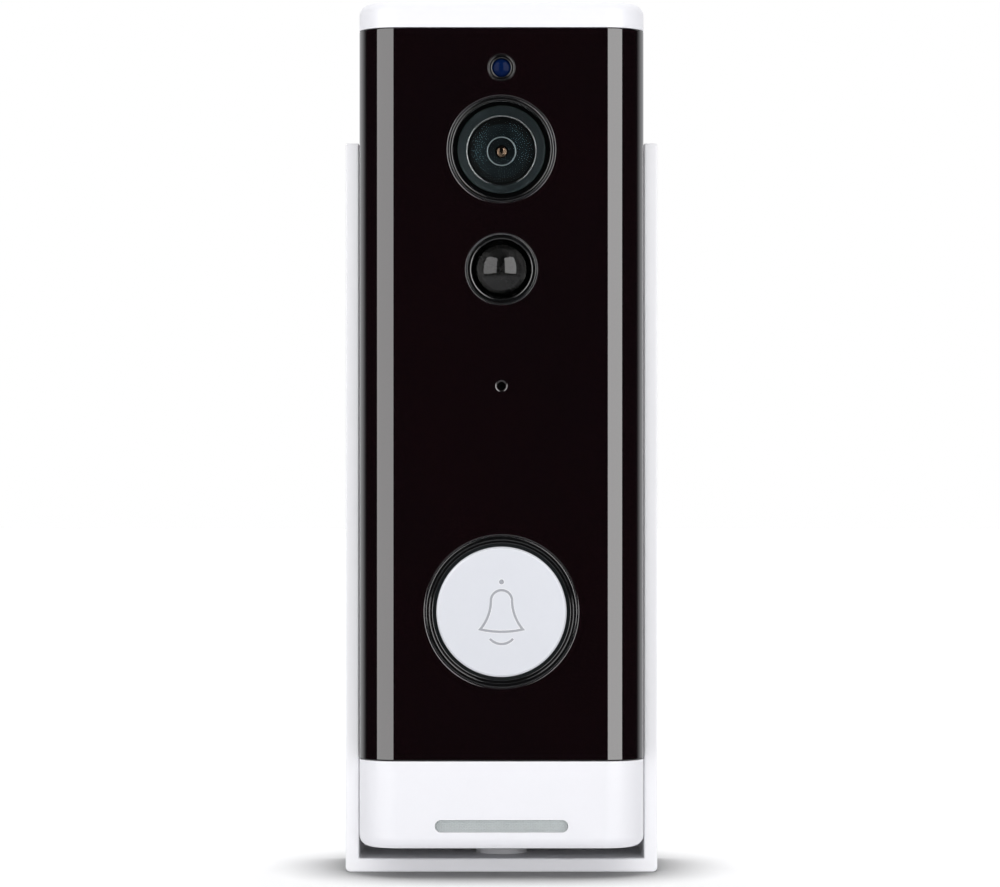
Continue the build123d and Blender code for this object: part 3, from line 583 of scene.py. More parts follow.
# %% Black panel
panel_thickness = 1.8
panel = master("black_panel")
with editing(panel):
    cut_at((0, seam - joint_gap, 0), (0, 1, 0), clear_outer=True)
    cut_at((0, 0, chin_line + joint_gap), (0, 0, 1), clear_inner=True)
    cut_at((0, 0, cap_line - joint_gap), (0, 0, 1), clear_outer=True)
modify(panel, "SOLIDIFY", thickness=panel_thickness * mm, offset=-1, use_even_offset=True)
soften(panel, 0.15)
for radius, bevel, z in (
    (8.55, 0.25, camera_z),
    (2.15, 0.08, light_z),
    (5.75, 0.1, motion_z),
    (0.55, 0.5, sound_z),
    (12.25, 0.25, bell_z),
):
    carve(panel, drill(radius, bevel, 0, z, 3.0))
print("black panel", len(panel.data.polygons), "faces")

# %% [markdown]
# The rear shell closes the box. A T-shaped channel up its middle takes the cradle's rail, the
# four corner holes lead to the casing screws, and a shallow recess near the top holds the
# port's rubber flap. The channel's own walls are joined on before the channel is cut, so it
# stays closed towards the electronics.

# %% Rear shell
rear_wall = 1.8
rear_shell = master("rear_shell")
with editing(rear_shell):
    cut_at((0, seam, 0), (0, 1, 0), clear_inner=True)
modify(rear_shell, "SOLIDIFY", thickness=rear_wall * mm, offset=-1, use_even_offset=True)
soften(rear_shell)
channel_top = 35.0
channel_front = back - 2.2
box_half, neck_half, head_half = 5.4, 2.7, 4.2
channel_box = block(
    "channel_box",
    (-box_half, box_half),
    (channel_front - 1, back - 0.5),
    (bottom + 0.5, channel_top + 1),
)
neck = block("neck", (-neck_half, neck_half), (channel_front + 0.6, back + 1), (bottom - 1, channel_top))
head = block("head", (-head_half, head_half), (channel_front, back - 1.0), (bottom - 2, channel_top + 0.2))
carve(rear_shell, channel_box, how="UNION")
carve(rear_shell, neck, head)
print("rear shell", len(rear_shell.data.polygons), "faces")

# %% [markdown]
# The small openings in the back follow: four counterbores with a light chamfer, the flap's
# recess with the socket's mouth inside it, the reset button's hole, and at the bottom the
# hole for the brass insert that the security screw goes into.

# %% Openings of the rear shell
screw_x, screw_inset = 17.3, 6.7
key_x = 13.5
screw_places = [(x, z) for x in (-screw_x, screw_x) for z in (bottom + screw_inset, top - screw_inset)]
for x, z in screw_places:
    carve(rear_shell, drill(2.2, 0.25, x, z, 4.0, back))
flap_low, flap_high = box_of("port_cover")
tab_low, tab_high = box_of("port_cover_tab")
recess = block(
    "recess",
    (tab_low.x - 0.1, flap_high.x + 0.1),
    (back - 1.2, back + 1),
    (tab_low.z - 0.1, tab_high.z + 0.1),
)
round_edges(recess, along_depth, 0.9, 5)
carve(rear_shell, recess, slot_shape("mouth", 9.6, 3.9, (back - 3, back), port_z))
carve(rear_shell, drill(1.6, 0.25, key_x, port_z, 4.0, back))
with editing(rear_shell):
    bpy.ops.mesh.select_all(action="SELECT")
    bpy.ops.mesh.remove_doubles(threshold=0.01 * mm)
    bpy.ops.mesh.dissolve_degenerate(threshold=0.005 * mm)
    still_open = pick("EDGE", lambda e: e.is_boundary)
    bpy.ops.mesh.fill_holes(sides=0)
print("rear shell", len(rear_shell.data.polygons), "faces,", still_open, "open edges closed")

# %% [markdown]
# ## The wall cradle
#
# A white tray, open at the front and the top, moulded in one with the T-shaped rail that the
# unit slides down. It begins as a block, the room for the unit is cut out, and the corners
# are rounded as the mould rounds them: more at the bottom, only a touch along the front rim.

# %% Cradle
cradle_low, cradle_high = box_of("wall_cradle")
room_half, floor_top, plate_front = 23.2, cradle_low.z + 2.2, -2.6
rail_step, rail_face, rail_bottom = -4.05, -4.95, -33
wall_hole_height = 45.0
cradle = block(
    "wall_tray",
    (cradle_low.x, cradle_high.x),
    (cradle_low.y, cradle_high.y),
    (cradle_low.z, cradle_high.z),
)
round_edges(
    cradle,
    lambda e: near(middle(e).z, cradle_low.z) and near(abs(middle(e).x), cradle_high.x),
    0.8,
    5,
)
carve(
    cradle,
    block("room", (-room_half, room_half), (cradle_low.y - 1, plate_front), (floor_top, cradle_high.z + 1)),
)
soften(cradle, 0.3, 3, 40)
rail_neck = block("rail_neck", (-2.5, 2.5), (rail_step, plate_front + 0.3), (rail_bottom, channel_top))
rail_head = block("rail_head", (-4.0, 4.0), (rail_face, rail_step), (rail_bottom, channel_top))
carve(cradle, rail_neck, rail_head, how="UNION")
screw_low, screw_high = box_of("security_screw")
screw_y = (screw_low.y + screw_high.y) / 2
print("cradle", len(cradle.data.polygons), "faces, security screw at y", round(screw_y, 2))

# %% [markdown]
# Two countersunk holes for the wall screws, and a small boss in the floor where the security
# screw comes up. A hole upright in the floor is turned like the others, about a line along Z.

# %% Holes in the cradle
def turned_upright(name, outline):
    """A round piece about the security screw's line, from (radius, height) steps."""
    piece = turned(name, outline, 0, 64, start=0)
    with editing(piece):
        bpy.ops.mesh.select_all(action="SELECT")
        bpy.ops.transform.rotate(value=math.radians(-90), orient_axis="X", center_override=(0, 0, 0))
        bpy.ops.transform.translate(value=(0, screw_y * mm, 0))
    return piece


for z in (-wall_hole_height, wall_hole_height):
    sink = turned("wall_hole", [(2.25, 3.0), (2.25, -0.9), (3.95, -2.6), (4.35, -3.0)], z, 64, start=0)
    carve(cradle, sink)
floor_boss = turned_upright(
    "floor_boss", [(4.2, floor_top - 0.5), (4.2, floor_top + 0.7), (4.0, floor_top + 0.9)]
)
carve(cradle, floor_boss, how="UNION")
washer_top = box_of("security_washer")[1].z
for radius, low, high in ((3.1, cradle_low.z - 1, washer_top), (1.6, cradle_low.z, floor_top + 2)):
    carve(cradle, turned_upright("bore", [(radius, low), (radius, high)]))
print("cradle", len(cradle.data.polygons), "faces")

# %% [markdown]
# ## The camera
#
# From the front: a gloss ring pressed into the panel, a flat cover glass, a dark cone that
# keeps stray light off the lens, a domed front lens in its barrel, the iris and a small inner
# lens deep inside. Each is turned as its own piece, so light really travels down through them.

# %% Camera rings, cone and barrel
camera_trim = turned(
    "camera_trim",
    [(7.82, 1.1), *arc(8.02, 0.25, 0.2, 180, 90), *arc(8.27, 0.23, 0.18, 90, 0), (8.45, 1.9),
     (7.1, 1.9), (7.1, 1.1), (7.82, 1.1)],
    camera_z,
    128,
)
camera_cone = turned(
    "camera_cone",
    [(6.95, 1.15), (7.0, 1.15), (7.0, 1.65), (6.15, 3.0), (5.80, 3.0),
     *arc(5.80, 2.88, 0.12, -90, -200, 6), (6.95, 1.15)],
    camera_z,
    128,
)
lens_barrel = turned(
    "lens_barrel",
    [(5.4, 4.45), *arc(5.7, 3.55, 0.4, 138.6, 90, 6), *arc(6.1, 3.25, 0.1, 90, 0, 4), (6.2, 12.85),
     (2.3, 12.85), (2.3, 7.85), (2.65, 7.85), (2.65, 5.65), (4.7, 5.65), (4.7, 4.45), (5.4, 4.45)],
    camera_z,
)
throat, iris_hole = 2.02, 0.95
camera_stop = turned(
    "camera_stop",
    [(4.45, 4.5), (4.65, 4.5), (4.65, 5.65), (iris_hole, 5.65), (throat, 5.5), (throat, 5.12),
     (throat + 0.17, 5.12), (throat + 0.17, 5.02), (4.45, 4.5)],
    camera_z,
)
stop_edge = turned(
    "stop_edge",
    [(throat + 0.02, 5.11), *arc(throat + 0.09, 5.0, 0.07, 180, 0, 6), (throat + 0.16, 5.11),
     (throat + 0.02, 5.11)],
    camera_z,
)
print("camera rings", [len(p.data.polygons) for p in (camera_trim, camera_cone, lens_barrel, camera_stop)])

# %% [markdown]
# The cover glass and the front lens are solid, with both faces modelled, because light bends
# at each of them. The front lens is a shallow dome with a ground edge. Of the inner lens only
# the curved tip shows, in the hole of the stop, so it needs a gloss but no depth. It is far
# more curved, which is why it shows the softboxes as two tiny sparks.

# %% Camera glass
camera_glass = turned(
    "camera_glass",
    [(7.72, 1.1), (7.8, 1.02), (7.8, 0.18), (7.72, 0.1)],
    camera_z,
    128,
)
front_lens = turned(
    "front_glass",
    [(4.2, 4.42), (5.2, 4.42), (5.35, 4.28), (5.35, 3.15), *dome(5.25, 0.95, 2.08)],
    camera_z,
    96,
)
inner_lens = turned(
    "inner_glass", [(2.6, 7.85), (2.6, 6.75), (1.55, 6.65), *dome(1.42, 0.8, 5.72)], camera_z, 64
)
print("glass", [len(p.data.polygons) for p in (camera_glass, front_lens, inner_lens)])

# %% [markdown]
# ## Light sensor, motion dome and microphone
#
# The light sensor is a small blue light pipe in a gloss sleeve. The motion sensor looks out
# through a smoked dome that is thin and moulded with rings inside, a Fresnel lens that
# gathers heat from the whole porch. The microphone is only a hole, with a rubber boot
# behind it.

# %% Sensors in the panel
light_trim = turned(
    "light_trim",
    [(1.5, 1.9), *arc(1.66, 0.21, 0.16, 180, 90, 5), *arc(1.95, 0.2, 0.15, 90, 0, 5), (2.1, 1.9), (1.5, 1.9)],
    light_z,
    64,
)
light_pipe = turned(
    "light_pipe", [(1.0, 5.5), (1.0, 1.9), (1.45, 1.9), (1.45, 0.6), *dome(1.42, 0.4, 0.15, 8)], light_z, 48
)
motion_trim = turned(
    "motion_trim",
    [(4.75, 1.9), *arc(5.05, 0.55, 0.3, 180, 90, 6), *arc(5.45, 0.37, 0.12, 90, 0, 5), (5.57, 1.9),
     (4.75, 1.9)],
    motion_z,
    96,
)
outside = [(5.55, 2.7), (5.55, 2.0), *dome(4.65, 2.9, -0.9, 24)]
rings, hollow_radius = 7, 3.95
hollow = []
for ring in range(rings):
    inner, outer = hollow_radius * ring / rings, hollow_radius * (ring + 1) / rings
    deep = -0.2 + 1.45 * (inner / hollow_radius) ** 2
    hollow += [(max(inner, 0.02), deep), (outer - 0.02, deep + 0.16 + 0.1 * ring / rings)]
motion_dome = turned("motion_dome", [*hollow, (hollow_radius, 2.7), *outside], motion_z, 96)
sound_boot = turned(
    "sound_boot",
    [(0.55, 1.8), (1.8, 1.8), (1.8, 2.4), (1.5, 2.6), (1.8, 2.8), (1.8, 5.2), (0.55, 5.2), (0.55, 1.8)],
    sound_z,
    48,
)
in_panel = (light_trim, light_pipe, motion_trim, motion_dome, sound_boot)
print("sensors", [len(p.data.polygons) for p in in_panel])

# %% [markdown]
# ## The bell button
#
# A satin disc with a chamfered rim sits in a stepped gloss ring. The bell on it is an inlay:
# thin grey lines, flush with the face, in grooves cut to the same shape. The engineering
# model's own strokes cut the grooves, so the lines cannot be off centre. A copy of them,
# merged into a closed shape and sunk a hair, fills the grooves.

# %% Bell button
def copy_of(cad_node, name):
    """A new piece from an engineering node's shape, merged into a closed mesh."""
    deselect()
    source = frame["nodes"][cad_node]
    piece = source.copy()
    piece.data = source.data.copy()
    for key in list(piece.keys()):
        del piece[key]
    piece.parent = None
    piece.name = name
    bpy.context.scene.collection.objects.link(piece)
    piece.data.materials.clear()
    with editing(piece):
        bpy.ops.mesh.select_all(action="SELECT")
        bpy.ops.mesh.remove_doubles(threshold=2e-6)
        bpy.ops.mesh.dissolve_limited(angle_limit=math.radians(0.5))
    return piece


cap_front = box_of("button_cap")[0].y - front
bell_disc = turned(
    "bell_disc",
    [(10.45, cap_front + 1.8), (10.45, cap_front + 0.42), *arc(10.27, cap_front + 0.30, 0.18, 0, 60, 4),
     *arc(10.1, cap_front + 0.16, 0.16, 45, 90, 3)],
    bell_z,
    160,
)
line_trim = 0.06


def strokes(name, rise):
    """The bell's strokes, slimmed on every side and then raised at the front."""
    piece = copy_of("bell_mark", name)
    with editing(piece):
        bpy.ops.mesh.select_all(action="SELECT")
        bpy.ops.transform.shrink_fatten(value=-line_trim * mm, use_even_offset=True)
        pick("VERT", lambda v: v.co.y / mm < front + cap_front + line_trim + 0.05)
        bpy.ops.transform.translate(value=(0, -(line_trim + rise) * mm, 0))
    return piece


carve(bell_disc, strokes("groove", 0.5))
bell_lines = strokes("bell_lines", -0.04)
print("bell strokes deepen to", round(box_of("bell_mark")[1].y - front, 2), "mm")
carrier_back = box_of("button_carrier")[1].y - front
bell_carrier = turned(
    "bell_carrier",
    [(11.25, 1.9), *arc(11.15, 2.8, 0.1, 0, -90, 3), (2.0, 2.9), (2.0, carrier_back - 0.1),
     (1.9, carrier_back)],
    bell_z,
)
bell_ring = turned(
    "bell_ring",
    [(11.0, 1.8), (11.0, 0.5), *arc(11.12, 0.5, 0.12, 180, 90, 4), (11.44, 0.38), (11.48, 0.22),
     *arc(11.62, 0.22, 0.14, 180, 90, 4), *arc(11.99, 0.24, 0.16, 90, 0, 5), (12.15, 1.8), (11.0, 1.8)],
    bell_z,
    160,
)
print("bell", [len(p.data.polygons) for p in (bell_disc, bell_lines, bell_carrier, bell_ring)])

# %% [markdown]
# ## The sound mesh
#
# Behind the slot lies a fine woven mesh. One wire is modelled over one crossing: a small ring
# extruded up, along and down. Array modifiers repeat the crossing along the wire and the
# wires across the mesh. A turned copy gives the wires the other way, half a step out of
# time, so that they go over and under. A thin dust cloth lies behind them.

# %% Woven mesh
wire_radius, weave_pitch = 0.075, 0.27
wave = 0.045
cloth_thickness = 0.06
mesh_depth = mesh_low.y + wire_radius + wave


def weave_wires(name, length, width, lengthwise, phase):
    """Wires along X, or along Z if not lengthwise, that fill a rectangle behind the slot."""
    deselect()
    crossings = int(length / weave_pitch / 2)
    rows = int(width / weave_pitch / 2)
    middle_z = (mesh_low.z + mesh_high.z) / 2
    start = Vector((-crossings * weave_pitch, mesh_depth + phase * wave, -(rows - 0.25) * weave_pitch))
    bpy.ops.mesh.primitive_circle_add(
        vertices=5, radius=wire_radius * mm, location=start * mm, rotation=(0, math.radians(90), 0)
    )
    wire = placed(name)
    with editing(wire):
        bpy.ops.mesh.select_all(action="SELECT")
        for rise in (-1, -1, 1, 1):
            step = (weave_pitch / 2 * mm, rise * phase * wave * mm, 0)
            bpy.ops.mesh.extrude_region_move(TRANSFORM_OT_translate={"value": step})
    along = {"use_relative_offset": False, "use_constant_offset": True}
    modify(wire, "ARRAY", count=crossings, constant_offset_displace=(2 * weave_pitch * mm, 0, 0),
           use_merge_vertices=True, merge_threshold=2e-6, **along)
    twin = wire.copy()
    twin.data = wire.data.copy()
    bpy.context.scene.collection.objects.link(twin)
    with editing(twin):
        bpy.ops.mesh.select_all(action="SELECT")
        across = Vector((0, mesh_depth, 0)) * mm
        bpy.ops.transform.mirror(constraint_axis=(False, True, False), center_override=across)
        bpy.ops.transform.translate(value=(0, 0, weave_pitch * mm))
    merged(wire, twin)
    modify(wire, "ARRAY", count=rows, constant_offset_displace=(0, 0, 2 * weave_pitch * mm), **along)
    with editing(wire):
        bpy.ops.mesh.select_all(action="SELECT")
        if not lengthwise:
            bpy.ops.transform.rotate(value=math.radians(90), orient_axis="Y", center_override=(0, 0, 0))
        bpy.ops.transform.translate(value=(0, 0, middle_z * mm))
        bpy.ops.mesh.normals_make_consistent(inside=False)
    return wire


mesh_width, mesh_height = mesh_high.x - mesh_low.x, mesh_high.z - mesh_low.z
sound_weave = merged(
    weave_wires("sound_weave", mesh_width, mesh_height, True, 1),
    weave_wires("upright_wires", mesh_height, mesh_width, False, -1),
)
sound_cloth = block(
    "sound_cloth",
    (mesh_low.x, mesh_high.x),
    (mesh_high.y - cloth_thickness, mesh_high.y),
    (mesh_low.z, mesh_high.z),
)
round_edges(sound_cloth, along_depth, mesh_height / 3, 8)
print("mesh", len(sound_weave.data.polygons), "faces")

# %% [markdown]
# ## Rubber parts on the back
#
# Four soft plugs close the screw holes. Each has a shallow dish and a small notch for a
# fingernail. The port's flap is a rounded pad with a thin hinge line beside its fixed tab
# and three grooves to grip it by; a low plug on its inner side fills the socket's mouth.

# %% Plugs, flap, tab and reset button
plugs = []
plug_outline = [
    (2.1, -2.0), (2.15, -1.8), *arc(2.03, -0.14, 0.12, 0, 90, 3), (1.5, -0.03), (1.35, -0.2), (0.4, -0.26),
    (0.0, -0.27),
]
for x, z in screw_places:
    plugs.append(turned("screw_plug", plug_outline, z, 48, x, back))
    notch = block("notch", (x - 0.5, x + 0.5), (back - 0.5, back + 1), (z + 1.7, z + 2.5))
    carve(plugs[-1], notch)
screw_caps = merged(*plugs)
screw_caps.name = "screw_caps"


def pad(name, low, high, side):
    """A rubber pad in the back, flush with it, with the corners on one side rounded."""
    piece = block(name, (low.x, high.x), (back - 1.1, back), (low.z, high.z))
    round_edges(piece, lambda e: along_depth(e) and near(middle(e).x, side), 0.8, 6)
    soften(piece, 0.15, 3)
    return piece


flap = pad("port_flap_pad", flap_low, flap_high, flap_high.x)
carve(flap, slot_shape("flap_plug", 7.5, 1.8, (flap_low.y, back - 0.5), port_z), how="UNION")
hinge_line = block(
    "hinge_line",
    (flap_low.x + 0.35, flap_low.x + 0.65),
    (back - 0.3, back + 1),
    (flap_low.z - 1, flap_high.z + 1),
)
carve(flap, hinge_line)
for i in range(3):
    x = flap_high.x - 1.1 - 0.8 * i
    carve(flap, block("grip", (x - 0.2, x + 0.2), (back - 0.2, back + 1), (port_z - 2.6, port_z + 2.6)))
port_tab = pad("port_tab", tab_low, tab_high, tab_low.x)
key_depth = box_of("reset_button")[0].y - back
reset_key = turned(
    "reset_key",
    [(1.0, key_depth), (1.0, -3.6), (2.3, -3.6), (2.3, -2.1), (1.5, -2.1),
     *arc(1.38, -0.32, 0.12, 0, 90, 3), (0.9, -0.24), (0.5, -0.34), (0.0, -0.36)],
    port_z,
    48,
    key_x,
    back,
)
print("rubber", [len(p.data.polygons) for p in (screw_caps, flap, port_tab, reset_key)])

# %% [markdown]
# ## The security screw
#
# A small machine screw with a rounded head and a six-sided key hole, under a nylon washer.
# Its thread is turned as fine ridges at the real half-millimetre pitch. It is turned about an
# upright line, head down, as it sits in the cradle's floor.

# %% Security screw and washer
head_low, head_top = screw_low.z, screw_low.z + 1.1
pitch, root, crest = 0.5, 1.3, 1.48
ridge = [(root, 0.0), (root, 0.1), (crest, 0.22), (crest, 0.28), (root, 0.4)]
thread = []
for turn in range(int((screw_high.z - head_top - 0.6) / pitch)):
    thread += [(radius, head_top + 0.45 + turn * pitch + rise) for radius, rise in ridge]
security_outline = [
    (1.2, head_low), (2.3, head_low), (2.6, head_low + 0.12), (2.75, head_low + 0.4), (2.75, head_top - 0.1),
    (2.65, head_top), (1.5, head_top), (1.5, head_top + 0.35), *thread, (root, screw_high.z - 0.25),
    (1.05, screw_high.z),
]
lock_screw = turned_upright("lock_screw", security_outline)
deselect()
bpy.ops.mesh.primitive_cylinder_add(
    vertices=6, radius=1.25 * mm, depth=1.4 * mm, location=Vector((0, screw_y, head_low)) * mm
)
carve(lock_screw, placed("key_hole"))
washer_low = box_of("security_washer")[0].z
lock_washer = turned_upright(
    "lock_washer",
    [(1.55, washer_low), (2.8, washer_low), (2.9, washer_low + 0.1), (2.9, washer_top - 0.1),
     (2.8, washer_top), (1.55, washer_top), (1.55, washer_low)],
)
print("lock", [len(p.data.polygons) for p in (lock_screw, lock_washer)])

# %% [markdown]
# ## Finishes
#
# Every surface gets a procedural finish built from two or three shared effects. Moulded
# plastic is never one flat colour: it has a fine grain from the mould, a slow drift in tone
# and gloss, edges that are a little paler where they have been handled, and a trace of dust
# on faces that look up. Each effect is a node group with named sockets, so a finish is a
# short list of values.

# %% Node groups
def group(name, inputs, outputs):
    """An empty shader node group with named sockets; inputs are (name, kind, default)."""
    tree = bpy.data.node_groups.new(name, "ShaderNodeTree")
    for label, kind, default in inputs:
        socket = tree.interface.new_socket(label, in_out="INPUT", socket_type=f"NodeSocket{kind}")
        socket.default_value = default
    for label, kind in outputs:
        tree.interface.new_socket(label, in_out="OUTPUT", socket_type=f"NodeSocket{kind}")
    return tree, tree.nodes.new("NodeGroupInput"), tree.nodes.new("NodeGroupOutput")


def mixed(tree, amount, first, second, blend="MIX"):
    """A colour mix node. Its inputs are colours, numbers or sockets."""
    made = tree.nodes.new("ShaderNodeMix")
    made.data_type, made.blend_type = "RGBA", blend
    for index, value in ((0, amount), (6, first), (7, second)):
        if isinstance(value, bpy.types.NodeSocket):
            tree.links.new(value, made.inputs[index])
        else:
            made.inputs[index].default_value = value
    return made.outputs[2]


# %% [markdown]
# The first group is mould grain: a fine noise for the surface's tiny relief, and a slow one
# that drifts the colour and the gloss over a few centimetres.

# %% Mould grain
grain, grain_in, grain_out = group(
    "mould_grain",
    [("Colour", "Color", (0.8, 0.8, 0.8, 1)), ("Drift colour", "Color", (0.7, 0.7, 0.7, 1)),
     ("Grain size", "Float", 0.0004), ("Drift size", "Float", 0.02),
     ("Roughness", "Float", 0.4), ("Roughness spread", "Float", 0.1)],
    [("Colour", "Color"), ("Roughness", "Float"), ("Height", "Float")],
)
place = grain.nodes.new("ShaderNodeTexCoord").outputs["Object"]
fine = node(grain, "ShaderNodeTexNoise", Detail=3.0, Roughness=0.6)
slow = node(grain, "ShaderNodeTexNoise", Detail=4.0, Roughness=0.55)
speck = node(grain, "ShaderNodeTexNoise", Detail=2.0)
join(
    grain,
    (place, fine.inputs["Vector"]),
    (place, slow.inputs["Vector"]),
    (place, speck.inputs["Vector"]),
    (maths(grain, "DIVIDE", 1.0, grain_in.outputs["Grain size"]), fine.inputs["Scale"]),
    (maths(grain, "DIVIDE", 1.0, grain_in.outputs["Drift size"]), slow.inputs["Scale"]),
    (maths(grain, "DIVIDE", 0.4, grain_in.outputs["Grain size"]), speck.inputs["Scale"]),
)
drift = node(grain, "ShaderNodeMapRange", From_Min=0.35, From_Max=0.68)
join(grain, (slow.outputs["Fac"], drift.inputs["Value"]))
slow_part = maths(grain, "MULTIPLY", drift.outputs[0], 0.65)
shift = maths(grain, "MULTIPLY_ADD", speck.outputs["Fac"], 0.35, slow_part)
spread = maths(grain, "MULTIPLY", maths(grain, "SUBTRACT", shift, 0.5), grain_in.outputs["Roughness spread"])
drifted = mixed(grain, shift, grain_in.outputs["Colour"], grain_in.outputs["Drift colour"])
join(
    grain,
    (drifted, grain_out.inputs["Colour"]),
    (maths(grain, "ADD", grain_in.outputs["Roughness"], spread), grain_out.inputs["Roughness"]),
    (fine.outputs["Fac"], grain_out.inputs["Height"]),
)
print("mould grain", len(grain.nodes), "nodes")

# %% [markdown]
# The second group is handling wear. A Bevel node looks a short way along the surface: where
# its rounded normal differs from the true one there is an edge, and noise breaks the band up.
# On the bell button the band is turned up to near white, a painted highlight round its rim.
# The third is dust, which settles on faces that look up.

# %% Edge wear and painted edge highlight, and dust
wear, wear_in, wear_out = group(
    "edge_wear",
    [("Colour", "Color", (0.8, 0.8, 0.8, 1)), ("Worn colour", "Color", (0.9, 0.9, 0.9, 1)),
     ("Amount", "Float", 0.5)],
    [("Colour", "Color"), ("Mask", "Float")],
)
rounded = wear.nodes.new("ShaderNodeBevel")
rounded.samples = 4
rounded.inputs["Radius"].default_value = 0.25 * mm
true_normal = wear.nodes.new("ShaderNodeNewGeometry")
facing = wear.nodes.new("ShaderNodeVectorMath")
facing.operation = "DOT_PRODUCT"
breaks = node(wear, "ShaderNodeTexNoise", Scale=900.0, Detail=3.0)
join(
    wear,
    (wear.nodes.new("ShaderNodeTexCoord").outputs["Object"], breaks.inputs["Vector"]),
    (rounded.outputs[0], facing.inputs[0]),
    (true_normal.outputs["Normal"], facing.inputs[1]),
)
edge = node(wear, "ShaderNodeMapRange", From_Min=0.995, From_Max=0.86)
join(wear, (facing.outputs["Value"], edge.inputs["Value"]))
broken = maths(wear, "MULTIPLY", edge.outputs[0], breaks.outputs["Fac"])
wear_and_highlight_mask = maths(wear, "MULTIPLY", broken, wear_in.outputs["Amount"])
worn_colour = mixed(wear, wear_and_highlight_mask, wear_in.outputs["Colour"], wear_in.outputs["Worn colour"])
join(
    wear,
    (worn_colour, wear_out.inputs["Colour"]),
    (wear_and_highlight_mask, wear_out.inputs["Mask"]),
)

dust, dust_in, dust_out = group(
    "settled_dust",
    [("Colour", "Color", (0.8, 0.8, 0.8, 1)), ("Roughness", "Float", 0.4), ("Amount", "Float", 0.15)],
    [("Colour", "Color"), ("Roughness", "Float")],
)
looks_up = node(dust, "ShaderNodeMapRange", From_Min=0.45, From_Max=0.95)
up_axis = dust.nodes.new("ShaderNodeSeparateXYZ")
patches = node(dust, "ShaderNodeTexNoise", Scale=260.0, Detail=5.0, Roughness=0.7)
join(
    dust,
    (dust.nodes.new("ShaderNodeNewGeometry").outputs["Normal"], up_axis.inputs[0]),
    (up_axis.outputs["Z"], looks_up.inputs["Value"]),
    (dust.nodes.new("ShaderNodeTexCoord").outputs["Object"], patches.inputs["Vector"]),
)
patchy = maths(dust, "MULTIPLY", looks_up.outputs[0], patches.outputs["Fac"])
settled = maths(dust, "MULTIPLY", patchy, dust_in.outputs["Amount"])
join(
    dust,
    (mixed(dust, settled, dust_in.outputs["Colour"], (0.52, 0.50, 0.47, 1)), dust_out.inputs["Colour"]),
    (maths(dust, "MULTIPLY_ADD", settled, 0.5, dust_in.outputs["Roughness"]), dust_out.inputs["Roughness"]),
)
print("edge wear and dust ready")

# %% [markdown]
# A finish then runs colour through grain, wear and dust into one Principled shader. Values
# that are the same all over, such as coat or refraction, are set on the shader itself.

# %% Finishes from the shared effects
finishes = {}


def grouped(tree, source, **inputs):
    """Places a node group and sets its inputs by name."""
    made = tree.nodes.new("ShaderNodeGroup")
    made.node_tree = source
    for key, value in inputs.items():
        made.inputs[key.replace("_", " ")].default_value = value
    return made


def rgba(colour):
    return (*colour, 1.0)


def finish(name, colour, drift, roughness, spread=0.06, size=0.35, drift_size=18.0, relief=0.01,
           worn=None, wear_amount=0.4, dusty=0.12, metallic=0.0, **shader):
    """A moulded or metal finish. Sizes and relief are in millimetres. The edge band is paler wear; turned up
    to near white it is a painted highlight.
    """
    material = bpy.data.materials.new(name)
    material.use_nodes = True
    tree = material.node_tree
    surface = tree.nodes["Principled BSDF"]
    grain_node = grouped(tree, grain, Colour=rgba(colour), Drift_colour=rgba(drift), Grain_size=size * mm,
                         Drift_size=drift_size * mm, Roughness=roughness, Roughness_spread=spread)
    pale = worn or tuple(min(1.0, c * 1.25 + 0.02) for c in colour)
    wear_node = grouped(tree, wear, Worn_colour=rgba(pale), Amount=wear_amount)
    dust_node = grouped(tree, dust, Amount=dusty)
    bump = node(tree, "ShaderNodeBump", Strength=1.0, Distance=relief * mm)
    join(
        tree,
        (grain_node.outputs["Colour"], wear_node.inputs["Colour"]),
        (wear_node.outputs["Colour"], dust_node.inputs["Colour"]),
        (grain_node.outputs["Roughness"], dust_node.inputs["Roughness"]),
        (dust_node.outputs["Colour"], surface.inputs["Base Color"]),
        (dust_node.outputs["Roughness"], surface.inputs["Roughness"]),
        (grain_node.outputs["Height"], bump.inputs["Height"]),
        (bump.outputs["Normal"], surface.inputs["Normal"]),
    )
    surface.inputs["Metallic"].default_value = metallic
    for key, value in shader.items():
        surface.inputs[key.replace("_", " ")].default_value = value
    finishes[name] = material
    return tree, surface


untouched = {"wear_amount": 0.0, "dusty": 0.0}  # for what is never handled: no wear, no dust
finish("white_shell", (0.79, 0.79, 0.825), (0.765, 0.765, 0.80), 0.34, relief=0.004, dusty=0.05)
finish("cradle_white", (0.86, 0.86, 0.885), (0.845, 0.845, 0.87), 0.46, relief=0.008, dusty=0.05)
finish("panel_black", (0.0040, 0.0010, 0.0016), (0.0028, 0.0010, 0.0016), 0.035, 0.03, 1.2, 30.0, 0.0006,
       wear_amount=0.0, dusty=0.02, IOR=1.85)
finish("bezel_black", (0.003, 0.003, 0.0033), (0.002, 0.002, 0.0022), 0.04, 0.02, 0.5, 8.0, 0.0004,
       wear_amount=0.0, dusty=0.03, IOR=1.9)
finish("inner_black", (0.016, 0.022, 0.024), (0.013, 0.018, 0.020), 0.5, 0.1, 0.3, 8.0, 0.01,
       wear_amount=0.1, dusty=0.0, Specular_IOR_Level=0.2)
finish("barrel_gloss", (0.006, 0.006, 0.007), (0.004, 0.004, 0.005), 0.05, 0.03, 0.3, 6.0, 0.0005,
       IOR=2.4, **untouched)
finish("iris_black", (0.0045, 0.0068, 0.0082), (0.0035, 0.0055, 0.0068), 0.5, 0.1, 0.3, 6.0, 0.004,
       Specular_IOR_Level=0.05, **untouched)
finish("edge_paint", (0.003, 0.003, 0.003), (0.002, 0.002, 0.002), 0.6, 0.1, 0.3, 3.0, 0.002,
       Specular_IOR_Level=0.05, **untouched)
